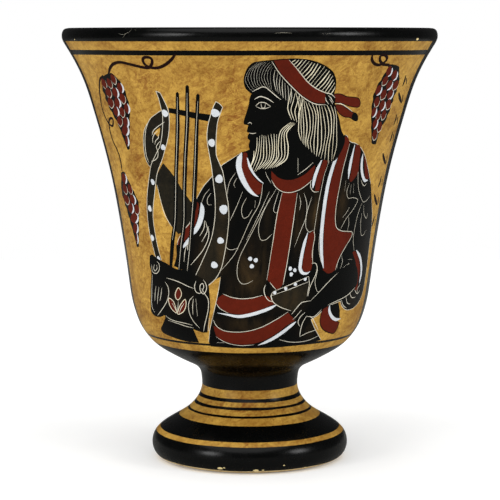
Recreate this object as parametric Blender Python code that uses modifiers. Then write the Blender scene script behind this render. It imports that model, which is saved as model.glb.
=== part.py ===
# A pythagorean cup: a stemmed ceramic cup with a siphon hidden in the column that stands inside it.
# Metres, +Z up. The origin is on the cup's axis, in the plane that the foot stands on.
# The whole cup is one fired piece: a turned body, with the siphon passage cut through it.

from math import pi

import bmesh
import bpy
import numpy as np

MM = 0.001

# Foot: a rolled edge on a narrow resting ring, hollow underneath, sweeping in to the stem's waist
FOOT_RADIUS = 28.4 * MM
FOOT_UNDERCUT = 4.0 * MM
FOOT_ROLL_HEIGHT = 3.95 * MM
FOOT_SWEEP_HEIGHT = 17.05 * MM
FOOT_RING_WIDTH = 3.9 * MM
FOOT_HOLLOW_HEIGHT = 17.0 * MM
WAIST_RADIUS = 13.9 * MM

# Bowl: a rounded bottom out to the belly, then a long wall that flares to the rim
BOTTOM_HEIGHT = 30.9 * MM
BELLY_RADIUS = 34.9 * MM
WALL_HEIGHT = 69.6 * MM
RIM_RADIUS = 53.56 * MM
LIP_HEIGHT = 2.7 * MM
WALL_THICKNESS = 4.3 * MM
FLOOR_THICKNESS = 5.5 * MM

# Siphon: from an inlet at the floor up a riser, over a bend at the fill line, down through the stem
SIPHON_BORE = 4.6 * MM
SEPTUM = 1.6 * MM
INLET_SILL = 1.5 * MM
INLET_BEND = 4.0 * MM
FILL_DEPTH = 43.5 * MM

# Column: the clay that stands round the siphon inside the bowl
COLUMN_WALL = 2.5 * MM
COLUMN_TAPER = 1.5 * MM
COLUMN_CROWN = 6.5 * MM
COLUMN_FILLET = 3.0 * MM
DOME_HEIGHT = 9.0 * MM

# How finely the curves are cut into flats
SEGMENTS = 52
CHORD_ERROR = 0.08 * MM
BEND_STEPS = 6

# The outline of each zone, as shares of its height and of the step between its two radii
ROLL_CURVE = ((0.0, 0.0), (0.275, 0.65))
SWEEP_CURVE = (
    (0.0, 0.0), (0.208, 0.058), (0.327, 0.2), (0.441, 0.416), (0.582, 0.681), (0.783, 0.903),
)
BOTTOM_CURVE = (
    (0.0, 0.0), (0.088, 0.005), (0.15, 0.026), (0.194, 0.08), (0.244, 0.215), (0.321, 0.432),
    (0.413, 0.642), (0.5, 0.762), (0.591, 0.847), (0.7, 0.911), (0.829, 0.961),
)
WALL_CURVE = (
    (0.0, 0.0), (0.106, 0.052), (0.24, 0.129), (0.396, 0.232), (0.556, 0.37), (0.707, 0.527),
    (0.829, 0.676), (0.912, 0.823), (0.966, 0.941), (1.0, 1.0),
)
LIP_CURVE = ((0.46, 0.02), (0.84, 0.27), (1.0, 1.0))
HOLLOW_CURVE = (
    (0.0, 0.0), (0.15, 0.03), (0.35, 0.12), (0.58, 0.32), (0.8, 0.58), (0.95, 0.82), (1.0, 1.0),
)
# Where along the bowl's bottom the solid stem gives way to the hollow bowl, as a share of its height
FLOOR_LEVEL = 0.244

# Heights that follow from the sizes above
WAIST = FOOT_ROLL_HEIGHT + FOOT_SWEEP_HEIGHT
BELLY = WAIST + BOTTOM_HEIGHT
WALL_TOP = BELLY + WALL_HEIGHT
RIM_TOP = WALL_TOP + LIP_HEIGHT
FLOOR = WAIST + FLOOR_LEVEL * BOTTOM_HEIGHT + FLOOR_THICKNESS

# The siphon's place: the drain runs down the cup's axis, with the riser beside it
RISER_OFFSET = SIPHON_BORE + SEPTUM
BEND_RADIUS = RISER_OFFSET / 2
BEND_CENTRE = RIM_TOP - FILL_DEPTH - BEND_RADIUS + SIPHON_BORE / 2
INLET = FLOOR + INLET_SILL + SIPHON_BORE / 2

# The column's place follows from the siphon inside it
COLUMN_TOP = BEND_CENTRE + BEND_RADIUS + SIPHON_BORE / 2 + COLUMN_CROWN
COLUMN_RADIUS = RISER_OFFSET + SIPHON_BORE / 2 + COLUMN_WALL
COLUMN_BASE_RADIUS = COLUMN_RADIUS + COLUMN_TAPER


def clear_scene():
    for found in list(bpy.data.objects):
        bpy.data.objects.remove(found, do_unlink=True)


def new_collection(name):
    made = bpy.data.collections.new(name)
    bpy.context.scene.collection.children.link(made)
    return made


def glazed_clay():
    made = bpy.data.materials.new("glazed_clay")
    made.use_nodes = True
    shader = made.node_tree.nodes["Principled BSDF"]
    shader.inputs["Base Color"].default_value = (0.52, 0.31, 0.07, 1.0)
    shader.inputs["Roughness"].default_value = 0.35
    shader.inputs["Metallic"].default_value = 0.0
    shader.inputs["Coat Weight"].default_value = 0.4
    return made


def zone(curve, base, height, start_radius, end_radius):
    # The stations of one zone of the outline, as (radius, height)
    return [
        (start_radius + (end_radius - start_radius) * out, base + height * up)
        for up, out in curve
    ]


def smooth_through(stations, samples=500):
    # A natural cubic spline through the stations, measured along their chords
    points = np.array(stations)
    spans = np.linalg.norm(np.diff(points, axis=0), axis=1)
    slopes = np.diff(points, axis=0) / spans[:, None]
    count = len(points)
    system = np.eye(count)
    right = np.zeros((count, 2))
    for i in range(1, count - 1):
        system[i, i - 1:i + 2] = spans[i - 1], 2 * (spans[i - 1] + spans[i]), spans[i]
        right[i] = 6 * (slopes[i] - slopes[i - 1])
    bends = np.linalg.solve(system, right)
    at = np.concatenate([[0.0], np.cumsum(spans)])
    along = np.linspace(0.0, at[-1], samples)
    span = np.clip(np.searchsorted(at, along, side="right") - 1, 0, count - 2)
    ahead = (at[span + 1] - along)[:, None]
    passed = (along - at[span])[:, None]
    width = spans[span][:, None]
    return (
        (bends[span] * ahead**3 + bends[span + 1] * passed**3) / (6 * width)
        + (points[span] / width - bends[span] * width / 6) * ahead
        + (points[span + 1] / width - bends[span + 1] * width / 6) * passed
    )


def arc(centre, radius, height, start, end, samples=50):
    # Part of an upright ellipse, from one angle to another in turns
    angles = 2 * pi * np.linspace(start, end, samples)
    return np.column_stack(
        [centre[0] + radius * np.cos(angles), centre[1] + height * np.sin(angles)]
    )


def thinned(points):
    # Only the points that keep the outline's flats within the chord error
    kept = [0]
    for end in range(2, len(points)):
        chord = points[end] - points[kept[-1]]
        between = points[kept[-1] + 1:end] - points[kept[-1]]
        away = np.abs(chord[0] * between[:, 1] - chord[1] * between[:, 0])
        if away.max() > CHORD_ERROR * np.linalg.norm(chord):
            kept.append(end - 1)
    return [tuple(points[i]) for i in [*kept, len(points) - 1]]


def wall_stations(thickness):
    # The flaring wall, moved in towards the axis by a thickness measured level
    return zone(
        WALL_CURVE, BELLY, WALL_HEIGHT, BELLY_RADIUS - thickness, RIM_RADIUS - thickness
    )


def lip_stations(edge_radius):
    # From one side of the rim up and over to the middle of the lip
    middle = RIM_RADIUS - WALL_THICKNESS / 2
    return zone(LIP_CURVE, WALL_TOP, LIP_HEIGHT, edge_radius, middle)


def outside_outline():
    # Down the outside, from the middle of the lip to the edge of the resting ring
    rest_radius = FOOT_RADIUS - FOOT_UNDERCUT
    stations = zone(ROLL_CURVE, 0.0, FOOT_ROLL_HEIGHT, rest_radius, FOOT_RADIUS)
    stations += zone(
        SWEEP_CURVE, FOOT_ROLL_HEIGHT, FOOT_SWEEP_HEIGHT, FOOT_RADIUS, WAIST_RADIUS
    )
    stations += zone(BOTTOM_CURVE, WAIST, BOTTOM_HEIGHT, WAIST_RADIUS, BELLY_RADIUS)
    stations += wall_stations(0.0)
    stations += lip_stations(RIM_RADIUS)
    return smooth_through(stations[::-1])


def inside_outline():
    # Up the inside of the bowl, from the foot of the column to the middle of the lip
    floor_edge = COLUMN_BASE_RADIUS + COLUMN_FILLET
    inner_belly = BELLY_RADIUS - WALL_THICKNESS
    floor = arc((floor_edge, BELLY), inner_belly - floor_edge, BELLY - FLOOR, -0.25, 0.0)
    wall = smooth_through(
        wall_stations(WALL_THICKNESS) + lip_stations(RIM_RADIUS - WALL_THICKNESS)
    )
    return np.concatenate([floor, wall[1:]])


def column_outline():
    # Down the column, from the crown of its dome to the bowl's floor
    dome_base = COLUMN_TOP - DOME_HEIGHT
    dome = arc((0.0, dome_base), COLUMN_RADIUS, DOME_HEIGHT, 0.25, 0.0)
    dome[0][0] = 0.0
    fillet_centre = (COLUMN_BASE_RADIUS + COLUMN_FILLET, FLOOR + COLUMN_FILLET)
    fillet = arc(fillet_centre, COLUMN_FILLET, COLUMN_FILLET, 0.5, 0.75)
    return np.concatenate([dome, fillet])


def hollow_outline():
    # Under the foot, from the inner edge of the resting ring up to the axis
    ring_inside = FOOT_RADIUS - FOOT_UNDERCUT - FOOT_RING_WIDTH
    return smooth_through(zone(HOLLOW_CURVE, 0.0, FOOT_HOLLOW_HEIGHT, ring_inside, 0.0))


def turned_body(collection):
    # One closed half section, turned round the axis
    section = thinned(column_outline())
    section += thinned(inside_outline())[1:]
    section += thinned(outside_outline())[1:]
    section += thinned(hollow_outline())
    mesh = bpy.data.meshes.new("cup")
    edges = [(i, i + 1) for i in range(len(section) - 1)]
    mesh.from_pydata([(radius, 0.0, height) for radius, height in section], edges, [])
    body = bpy.data.objects.new("cup", mesh)
    collection.objects.link(body)
    turn = body.modifiers.new("turned", "SCREW")
    turn.axis = "Z"
    turn.steps = SEGMENTS
    turn.render_steps = SEGMENTS
    turn.use_merge_vertices = True
    turn.merge_threshold = 0.01 * MM
    turn.use_smooth_shade = True
    return body


def siphon_route():
    # The middle line of the passage, in the plane of the inlet
    drain_end = FOOT_HOLLOW_HEIGHT - SIPHON_BORE
    inlet_end = COLUMN_BASE_RADIUS + COLUMN_FILLET + SIPHON_BORE / 2
    bend = arc((BEND_RADIUS, BEND_CENTRE), BEND_RADIUS, BEND_RADIUS, 0.5, 0.0, 2 * BEND_STEPS + 1)
    turn_centre = (RISER_OFFSET + INLET_BEND, INLET + INLET_BEND)
    turn_out = arc(turn_centre, INLET_BEND, INLET_BEND, 0.5, 0.75, BEND_STEPS + 1)
    return [(0.0, drain_end), *bend, *turn_out, (inlet_end, INLET)]


def siphon_cutter(collection):
    # A round tube along the route, made a closed mesh that can cut
    route = siphon_route()
    curve = bpy.data.curves.new("siphon_route", "CURVE")
    curve.dimensions = "3D"
    curve.bevel_depth = SIPHON_BORE / 2
    curve.bevel_resolution = 4
    curve.use_fill_caps = True
    spline = curve.splines.new("POLY")
    spline.points.add(len(route) - 1)
    for point, (across, height) in zip(spline.points, route):
        point.co = (across, 0.0, height, 1.0)
    tube = bpy.data.objects.new("siphon_route", curve)
    collection.objects.link(tube)
    bpy.context.view_layer.update()
    graph = bpy.context.evaluated_depsgraph_get()
    mesh = bpy.data.meshes.new_from_object(tube.evaluated_get(graph))
    shape = bmesh.new()
    shape.from_mesh(mesh)
    bmesh.ops.remove_doubles(shape, verts=shape.verts, dist=0.001 * MM)
    bmesh.ops.recalc_face_normals(shape, faces=shape.faces)
    shape.to_mesh(mesh)
    shape.free()
    cutter = bpy.data.objects.new("siphon_passage", mesh)
    cutter.matrix_world = tube.matrix_world
    collection.objects.link(cutter)
    bpy.data.objects.remove(tube, do_unlink=True)
    cutter.hide_render = True
    cutter.display_type = "WIRE"
    return cutter


def main():
    clear_scene()
    parts = new_collection("pythagorean_cup")
    cutters = new_collection("cutters")
    cup = turned_body(parts)
    cup.data.materials.append(glazed_clay())
    cut = cup.modifiers.new("siphon", "BOOLEAN")
    cut.operation = "DIFFERENCE"
    cut.solver = "EXACT"
    cut.object = siphon_cutter(cutters)


main()
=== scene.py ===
# The looks of the pythagorean cup: one painted and glazed piece, which stands for the CAD node.
# Sizes are in millimetres until a mesh is made. The picture faces -Y.

from math import ceil, cos, pi, radians, sin

import bpy
import bmesh
import numpy as np
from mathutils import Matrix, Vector
from mathutils.geometry import delaunay_2d_cdt


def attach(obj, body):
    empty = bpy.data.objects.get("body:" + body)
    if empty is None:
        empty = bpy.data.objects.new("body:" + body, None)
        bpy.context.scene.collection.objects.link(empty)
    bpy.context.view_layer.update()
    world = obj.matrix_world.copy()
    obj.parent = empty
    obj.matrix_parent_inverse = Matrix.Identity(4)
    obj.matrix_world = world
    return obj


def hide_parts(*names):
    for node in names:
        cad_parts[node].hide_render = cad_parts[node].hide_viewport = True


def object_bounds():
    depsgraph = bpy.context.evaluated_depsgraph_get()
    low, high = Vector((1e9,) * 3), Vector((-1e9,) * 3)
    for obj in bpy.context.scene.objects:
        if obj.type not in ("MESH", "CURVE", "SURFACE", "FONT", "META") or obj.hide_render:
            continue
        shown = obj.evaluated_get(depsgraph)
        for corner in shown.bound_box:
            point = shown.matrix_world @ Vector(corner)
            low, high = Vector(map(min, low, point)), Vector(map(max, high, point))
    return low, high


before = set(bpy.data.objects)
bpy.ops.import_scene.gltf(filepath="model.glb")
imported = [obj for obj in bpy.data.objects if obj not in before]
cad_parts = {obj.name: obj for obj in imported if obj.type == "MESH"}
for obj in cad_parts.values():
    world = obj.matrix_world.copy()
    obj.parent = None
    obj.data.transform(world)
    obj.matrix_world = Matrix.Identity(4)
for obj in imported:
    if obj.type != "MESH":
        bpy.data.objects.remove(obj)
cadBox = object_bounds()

mm = 0.001
turn = 2 * pi

foot = {
    "radius": 28.4, "undercut": 4.0, "ringWidth": 3.9, "rollHeight": 3.95, "sweepHeight": 17.05,
    "hollowHeight": 17.0, "waistRadius": 13.9,
}
bowl = {
    "bottomHeight": 30.9, "bellyRadius": 34.9, "wallHeight": 69.6, "rimRadius": 53.56,
    "lipHeight": 2.7, "thickness": 4.3, "floorThickness": 5.5, "floorLevel": 0.244,
}
siphon = {"bore": 4.6, "septum": 1.6, "sill": 1.5, "bend": 4.0, "fillDepth": 43.5, "sides": 24}
column = {"wall": 2.5, "taper": 1.5, "crown": 6.5, "fillet": 3.0, "domeHeight": 9.0}

# The outline of each zone, as shares of its height and of the step between its two radii
curves = {
    "roll": ((0, 0), (0.275, 0.65)),
    "sweep": ((0, 0), (0.208, 0.058), (0.327, 0.2), (0.441, 0.416), (0.582, 0.681), (0.783, 0.903)),
    "bottom": (
        (0, 0), (0.088, 0.005), (0.15, 0.026), (0.194, 0.08), (0.244, 0.215), (0.321, 0.432),
        (0.413, 0.642), (0.5, 0.762), (0.591, 0.847), (0.7, 0.911), (0.829, 0.961),
    ),
    "wall": (
        (0, 0), (0.106, 0.052), (0.24, 0.129), (0.396, 0.232), (0.556, 0.37), (0.707, 0.527),
        (0.829, 0.676), (0.912, 0.823), (0.966, 0.941), (1, 1),
    ),
    "lip": ((0.46, 0.02), (0.84, 0.27), (1, 1)),
    "hollow": (
        (0, 0), (0.15, 0.03), (0.35, 0.12), (0.58, 0.32), (0.8, 0.58), (0.95, 0.82), (1, 1),
    ),
}

waist = foot["rollHeight"] + foot["sweepHeight"]
belly = waist + bowl["bottomHeight"]
wallTop = belly + bowl["wallHeight"]
rimTop = wallTop + bowl["lipHeight"]
floorHeight = waist + bowl["floorLevel"] * bowl["bottomHeight"] + bowl["floorThickness"]
restRadius = foot["radius"] - foot["undercut"]
boreRadius = siphon["bore"] / 2
riserOffset = siphon["bore"] + siphon["septum"]
bendCentre = rimTop - siphon["fillDepth"] - riserOffset / 2 + boreRadius
inletHeight = floorHeight + siphon["sill"] + boreRadius
columnTop = bendCentre + riserOffset / 2 + boreRadius + column["crown"]
columnRadius = riserOffset + boreRadius + column["wall"]
columnFoot = columnRadius + column["taper"]
fillLine = rimTop - siphon["fillDepth"]

columns = 144
unrolled = 40.0  # the radius that the outside is unrolled at
seamAt = 127.5  # where the unrolled outside is cut, in degrees from the front


def zone(curve, base, height, startRadius, endRadius):
    # The stations of one zone of the outline, as (radius, height)
    return [
        (startRadius + (endRadius - startRadius) * out, base + height * up) for up, out in curve
    ]


def smoothThrough(stations, samples=900):
    # A natural cubic spline through the stations, measured along their chords
    points = np.array(stations, float)
    lengths = np.linalg.norm(np.diff(points, axis=0), axis=1)
    slopes = np.diff(points, axis=0) / lengths[:, None]
    count = len(points)
    system = np.eye(count)
    right = np.zeros((count, 2))
    for i in range(1, count - 1):
        system[i, i - 1:i + 2] = lengths[i - 1], 2 * (lengths[i - 1] + lengths[i]), lengths[i]
        right[i] = 6 * (slopes[i] - slopes[i - 1])
    bends = np.linalg.solve(system, right)
    at = np.concatenate([[0.0], np.cumsum(lengths)])
    along = np.linspace(0.0, at[-1], samples)
    span = np.clip(np.searchsorted(at, along, side="right") - 1, 0, count - 2)
    ahead = (at[span + 1] - along)[:, None]
    passed = (along - at[span])[:, None]
    width = lengths[span][:, None]
    return (
        (bends[span] * ahead**3 + bends[span + 1] * passed**3) / (6 * width)
        + (points[span] / width - bends[span] * width / 6) * ahead
        + (points[span + 1] / width - bends[span + 1] * width / 6) * passed
    )


def arc(centre, radius, height, start, end, samples=60):
    # Part of an upright ellipse, from one angle to another in turns
    angles = turn * np.linspace(start, end, samples)
    return np.column_stack(
        [centre[0] + radius * np.cos(angles), centre[1] + height * np.sin(angles)]
    )


def wallStations(thickness):
    return zone(
        curves["wall"], belly, bowl["wallHeight"], bowl["bellyRadius"] - thickness,
        bowl["rimRadius"] - thickness,
    )


def lipStations(edgeRadius):
    middle = bowl["rimRadius"] - bowl["thickness"] / 2
    return zone(curves["lip"], wallTop, bowl["lipHeight"], edgeRadius, middle)


def outsideOutline():
    # Down the outside, from the middle of the lip to the edge of the resting ring
    stations = zone(curves["roll"], 0, foot["rollHeight"], restRadius, foot["radius"])
    stations += zone(
        curves["sweep"], foot["rollHeight"], foot["sweepHeight"], foot["radius"],
        foot["waistRadius"],
    )
    stations += zone(
        curves["bottom"], waist, bowl["bottomHeight"], foot["waistRadius"], bowl["bellyRadius"]
    )
    stations += wallStations(0) + lipStations(bowl["rimRadius"])
    return smoothThrough(stations[::-1], 2500)


def insideOutline():
    # Down the column, across the floor and up the inside to the middle of the lip
    dome = arc((0, columnTop - column["domeHeight"]), columnRadius, column["domeHeight"], 0.25, 0)
    dome[0][0] = 0
    fillet = arc(
        (columnFoot + column["fillet"], floorHeight + column["fillet"]), column["fillet"],
        column["fillet"], 0.5, 0.75, 24,
    )
    floorEdge = columnFoot + column["fillet"]
    innerBelly = bowl["bellyRadius"] - bowl["thickness"]
    floor = arc((floorEdge, belly), innerBelly - floorEdge, belly - floorHeight, -0.25, 0)
    wall = smoothThrough(
        wallStations(bowl["thickness"]) + lipStations(bowl["rimRadius"] - bowl["thickness"])
    )
    return np.concatenate([dome, fillet, floor[1:], wall[1:]])


def undersideOutline():
    # From the edge of the resting ring in to the axis
    ringInside = restRadius - foot["ringWidth"]
    hollow = smoothThrough(zone(curves["hollow"], 0, foot["hollowHeight"], ringInside, 0), 300)
    ring = np.column_stack([np.linspace(restRadius, ringInside, 4), np.zeros(4)])
    outline = np.concatenate([ring[:-1], hollow])
    outline[-1][0] = 0
    return outline


def keptAlong(outline, error, longest=np.inf):
    # Only the places that keep a path close to its outline, none of them too far apart
    kept = [0]
    for end in range(2, len(outline)):
        chord = outline[end] - outline[kept[-1]]
        between = outline[kept[-1] + 1:end] - outline[kept[-1]]
        length = np.linalg.norm(chord)
        away = np.abs(chord[0] * between[:, 1] - chord[1] * between[:, 0])
        if away.max() > error * length or length > longest:
            kept.append(end - 1)
    return [*kept, len(outline) - 1]


# The outside, held a hair inside the CAD's box
boxClearance = 0.003
outside = outsideOutline()
outside[:, 0] = np.minimum(outside[:, 0], cadBox[1][0] / mm - boxClearance)
steps = np.linalg.norm(np.diff(outside, axis=0), axis=1)
outsideAlong = np.concatenate([[0.0], np.cumsum(steps)])
outsideLength = outsideAlong[-1]


def radiusAt(down):
    # The outside's radius, by the distance down it from the middle of the lip
    return np.interp(down, outsideAlong, outside[:, 0])


def downAt(height):
    return np.interp(-np.asarray(height), -outside[:, 1], outsideAlong)


# The picture is laid out on a sheet 500 units wide, held up where the photograph's camera sees
# the cup. Each place on it is carried along the line of sight to the cup's outside.
view = {"across": 0.086, "back": 563.4, "height": 121.85, "pitch": 6.234, "focal": 1956.65}
sheet = 500.0


def onCup(places):
    # Where places on the sheet fall on the unrolled outside
    places = np.asarray(places, float)
    pitch = radians(view["pitch"])
    side = (places[:, 0] - sheet / 2) / view["focal"]
    up = (sheet / 2 - places[:, 1]) / view["focal"]
    sight = np.column_stack([side, cos(pitch) + up * sin(pitch), up * cos(pitch) - sin(pitch)])
    eye = np.array([view["across"], -view["back"], view["height"]])

    def clearance(reach):
        spots = eye + sight[:, None, :] * reach[..., None]
        radius = np.interp(-spots[..., 2], -outside[:, 1], outside[:, 0])
        return np.hypot(spots[..., 0], spots[..., 1]) - radius

    # The first place along the line that isn't clear of the cup, then closer by halves
    nearest, farthest, looks, halvings = 505, 566, 160, 14
    reaches = np.broadcast_to(np.linspace(nearest, farthest, looks), (len(places), looks))
    clear = clearance(reaches)
    met = clear <= 0
    first = np.where(met.any(1), met.argmax(1), clear.argmin(1))
    far = reaches[np.arange(len(places)), first]
    near = np.where(met.any(1), far - (farthest - nearest) / (looks - 1), far)
    for _ in range(halvings):
        middle = (near + far) / 2
        inside = clearance(middle[:, None])[:, 0] <= 0
        far = np.where(inside, middle, far)
        near = np.where(inside, near, middle)
    spots = eye + sight * far[:, None]
    azimuth = np.arctan2(spots[:, 0], -spots[:, 1])
    return np.column_stack([azimuth * unrolled, downAt(spots[:, 2])])


def onBack(places):
    # Where places in millimetres beside the middle of the back and above the ground fall there
    places = np.asarray(places, float)
    down = downAt(places[:, 1])
    return np.column_stack([(places[:, 0] / radiusAt(down) - pi) * unrolled, down])


def bentThrough(run):
    # An even curve through a run of places, with the width that each may carry
    run = np.asarray(run, float)
    if len(run) == 2:
        return list(run)
    longestStep = 1.4
    run = np.vstack([2 * run[0] - run[1], run, 2 * run[-1] - run[-2]])
    gaps = np.sqrt(np.linalg.norm(np.diff(run[:, :2], axis=0), axis=1)) + 1e-6
    knots = np.concatenate([[0], np.cumsum(gaps)])
    curve = []
    for i in range(1, len(run) - 2):
        k0, k1, k2, k3 = knots[i - 1:i + 3]
        p0, p1, p2, p3 = run[i - 1:i + 3]
        count = max(2, ceil(np.linalg.norm(p2[:2] - p1[:2]) / longestStep))
        for at in np.linspace(k1, k2, count, endpoint=False):
            a1 = (p0 * (k1 - at) + p1 * (at - k0)) / (k1 - k0)
            a2 = (p1 * (k2 - at) + p2 * (at - k1)) / (k2 - k1)
            a3 = (p2 * (k3 - at) + p3 * (at - k2)) / (k3 - k2)
            b1 = (a1 * (k2 - at) + a2 * (at - k0)) / (k2 - k0)
            b2 = (a2 * (k3 - at) + a3 * (at - k1)) / (k3 - k1)
            curve.append((b1 * (k2 - at) + b2 * (at - k1)) / (k2 - k1))
    return [*curve, run[-2]]


def smooth(places, closed=False):
    # A curve through places on the sheet. A place written twice is a corner.
    places = [tuple(place) for place in places]
    if closed:
        corners = [i for i in range(len(places)) if places[i] == places[i - 1]]
        if corners:
            places = places[corners[0]:] + places[:corners[0] + 1]
        else:
            wrapped = np.array(bentThrough(places[-2:] + places + places[:3]))
            away = np.linalg.norm(wrapped - places[0], axis=1)
            half = len(away) // 2
            return wrapped[away[:half].argmin():half + away[half:].argmin()]
    runs = [[]]
    for place in places:
        if runs[-1] and runs[-1][-1] == place:
            runs.append([place])
        else:
            runs[-1].append(place)
    curve = []
    for run in runs:
        if len(run) > 1:
            curve += bentThrough(run)
    kept = [curve[0]]
    for spot in curve[1:]:
        if np.linalg.norm(spot[:2] - kept[-1][:2]) > 0.01:
            kept.append(spot)
    return np.array(kept)


paintError = 0.022  # how far a stroke's kept places may stray from its path, in millimetres
layers = []  # each coat as (paint, outline, guides), the later ones over the earlier
fineness = {"pale": 0.74}  # how much finer a paint's strokes come out than their stated width


def lay(paint, outline, guides=None):
    layers.append((paint, outline, guides or [np.vstack([outline, outline[:1]])]))


def brushed(paint, path, widths, ends):
    # One stroke of a brush or a scratching point, with its ends drawn in
    path = np.asarray(path, float)
    shrink = radiusAt(path[:, 1]) / unrolled
    course = np.gradient(path, axis=0)
    course[:, 0] *= shrink
    pace = np.linalg.norm(course, axis=1)
    course /= pace[:, None]
    lengths = np.linalg.norm(np.diff(path, axis=0) * np.column_stack(
        [(shrink[1:] + shrink[:-1]) / 2, np.ones(len(path) - 1)]
    ), axis=1)
    gone = np.concatenate([[0], np.cumsum(lengths)])
    endLength = max(0.2, min(1.2, gone[-1] / 2))
    reach = np.minimum(gone, gone[-1] - gone) / endLength
    half = np.asarray(widths) / 2 * fineness.get(paint, 1) * np.clip(ends + (1 - ends) * reach, 0, 1)
    across = np.column_stack([-course[:, 1] / shrink, course[:, 0]]) * half[:, None]
    ahead = np.column_stack([course[:, 0] / shrink, course[:, 1]]) * half[:, None]
    outline = np.vstack([
        path[:1] - ahead[:1], path + across, path[-1:] + ahead[-1:], (path - across)[::-1]
    ])
    lay(paint, outline)


def line(paint, places, width=0.3, ends=0.4, carry=onCup, closed=False):
    curve = smooth(places, closed)
    if closed:
        curve = np.vstack([curve, curve[:2]])
    widths = curve[:, 2] if curve.shape[1] == 3 else np.full(len(curve), width)
    path = carry(curve[:, :2])
    kept = keptAlong(path, paintError)
    brushed(paint, path[kept], widths[kept], ends)


def strokes(paint, runs, width):
    for places in runs:
        line(paint, places, width)


def area(paint, places, edge=None, edgeWidth=0.2, carry=onCup):
    path = carry(smooth(places, True)[:, :2])
    path = path[keptAlong(path, paintError)]
    lay(paint, path)
    if edge:
        brushed(edge, np.vstack([path, path[:2]]), np.full(len(path) + 2, edgeWidth), 1)


def dot(paint, place, size, tall=1.0, carry=onCup):
    # A round touch of the brush, size across in millimetres
    centre = carry([place])[0]
    shrink = radiusAt(centre[1]) / unrolled
    angles = np.linspace(0, turn, 13)[:-1]
    uneven = 1 + 0.07 * np.sin(3 * angles + place[0]) + 0.05 * np.sin(2 * angles + place[1])
    half = size / 2 * uneven
    lay(paint, centre + np.column_stack(
        [half * np.cos(angles) / shrink, half * tall * np.sin(angles)]
    ))


def along(places, share):
    # The place at a share of a run of places' length
    path = smooth(places)
    lengths = np.linalg.norm(np.diff(path[:, :2], axis=0), axis=1)
    gone = np.concatenate([[0], np.cumsum(lengths)]) / lengths.sum()
    return tuple(np.interp(share, gone, path[:, i]) for i in range(path.shape[1]))


def strands(paint, guides, count, width=0.28, waver=0.3):
    # Hair: lines that cross every guide in turn
    for i in range(count):
        places = []
        for k, guide in enumerate(guides):
            u, v = along(guide, i / (count - 1))
            places.append((u + waver * sin(7.3 * i + 2.1 * k), v + waver * sin(5.1 * i + 3.7 * k)))
        # The tips end raggedly
        before, tip = np.array(places[-2:])
        places[-1] = tuple(tip + 0.12 * sin(3.1 * i) * (tip - before))
        line(paint, places, width * (1 + 0.2 * sin(4.7 * i)))


def ring(paint, top, bottom, span=None, waver=0.07):
    # A band between two heights, right round or between two azimuths in degrees
    if span:
        count = ceil((span[1] - span[0]) / 2.5)
        azimuths = np.radians(np.linspace(*span, count + 1))
    else:
        azimuths = np.radians(seamAt - 360 + np.arange(columns + 1) * 360 / columns)
    sway = waver * (np.sin(2 * azimuths + top) + 0.6 * np.sin(5 * azimuths + 2 * top)
                    + 0.4 * np.sin(11 * azimuths + 3 * top)) / 1.4
    swell = waver * (np.sin(3 * azimuths + bottom) + 0.5 * np.sin(8 * azimuths + bottom)) / 1.4
    upper = np.column_stack([azimuths * unrolled, downAt(top) + sway])
    lower = np.column_stack([azimuths * unrolled, downAt(bottom) + sway + 0.5 * swell])
    guides = None if span else [upper, lower]
    if bottom == 0:
        # On past the outside's last edge
        lower[:, 1] = outsideLength + 1
        guides = [upper]
    lay(paint, np.vstack([upper, lower[::-1]]), guides)


def panel(paint, top, bottom, span, waver=0.25):
    # A field with upright sides that waver as a hand-held brush leaves them
    placesAcross, placesDown = 61, 40
    azimuths = np.radians(np.linspace(*span, placesAcross)) * unrolled
    downs = np.linspace(downAt(top), downAt(bottom), placesDown)
    sway = waver * (np.sin(downs / 7) + 0.5 * np.sin(downs / 2.9 + 1))
    upper = np.column_stack([azimuths, np.full(placesAcross, downs[0])])
    lower = np.column_stack([azimuths, np.full(placesAcross, downs[-1])])
    left = np.column_stack([azimuths[0] + sway, downs])
    right = np.column_stack([azimuths[-1] - sway[::-1], downs])
    lay(paint, np.vstack([upper[1:-1], right, lower[::-1][1:-1], left[::-1]]))


# Bands and fields, from the lip down. All that no other coat covers is black glaze.
bands = {
    "collar": (36.67, 34.63), "neck": (21.44, 19.12), "neckSecond": (18.11, 16.85),
    "neckThird": (16.16, 14.76), "neckFourth": (14.25, 12.52), "footLine": (9.03, 7.89),
}
for top, bottom in bands.values():
    ring("ochre", top, bottom)
front = {
    "span": (-75.6, 73.2), "top": 120.5, "bottom": 37.35, "lineTop": 118.13, "lineBottom": 116.81,
    "lineSpan": (-79, 75),
}
panel("ochre", front["top"], front["bottom"], front["span"])
ring("black", front["lineTop"], front["lineBottom"], front["lineSpan"], 0.05)
bareEdge = 1.15
ring("clay", bareEdge, 0, None, 0.22)

# The vine: three bunches on tendrils, painted in the panel's corners
vine = {
    "leftTendril": [
        (175.3, 54.5), (171, 60), (164, 65.5), (157, 68), (151, 67.6), (145.8, 65.3), (142.8, 60.6),
        (143.6, 57.9), (147.3, 57.2), (151, 58.4), (152.2, 61.8), (151, 65.6), (148.6, 67.8), (143, 67.4),
        (137.8, 66.3), (128.3, 63.9), (119, 62.2), (113, 64.2), (109.8, 68.7), (108.4, 74.5),
    ],
    "leftTrail": [
        (103, 75.5), (100.2, 79), (99.4, 86), (100.2, 97), (102.4, 109), (105.8, 118.2), (109.4, 124.2),
        (112.4, 126), (113.2, 122), (112.2, 118.2), (110, 118.6), (109, 121.8), (109.6, 128), (111, 135),
        (113.6, 142.5), (117.7, 151), (120.4, 160), (122, 171),
    ],
    "rightTendril": [
        (372.6, 54.5), (371.8, 58.5), (373.4, 62.6), (378, 65), (383, 63.4), (387, 58.8), (385.6, 55.4),
        (381, 55.6), (379.8, 59.6), (383, 64.2), (388.2, 65), (391.8, 66.4),
    ],
}
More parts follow.
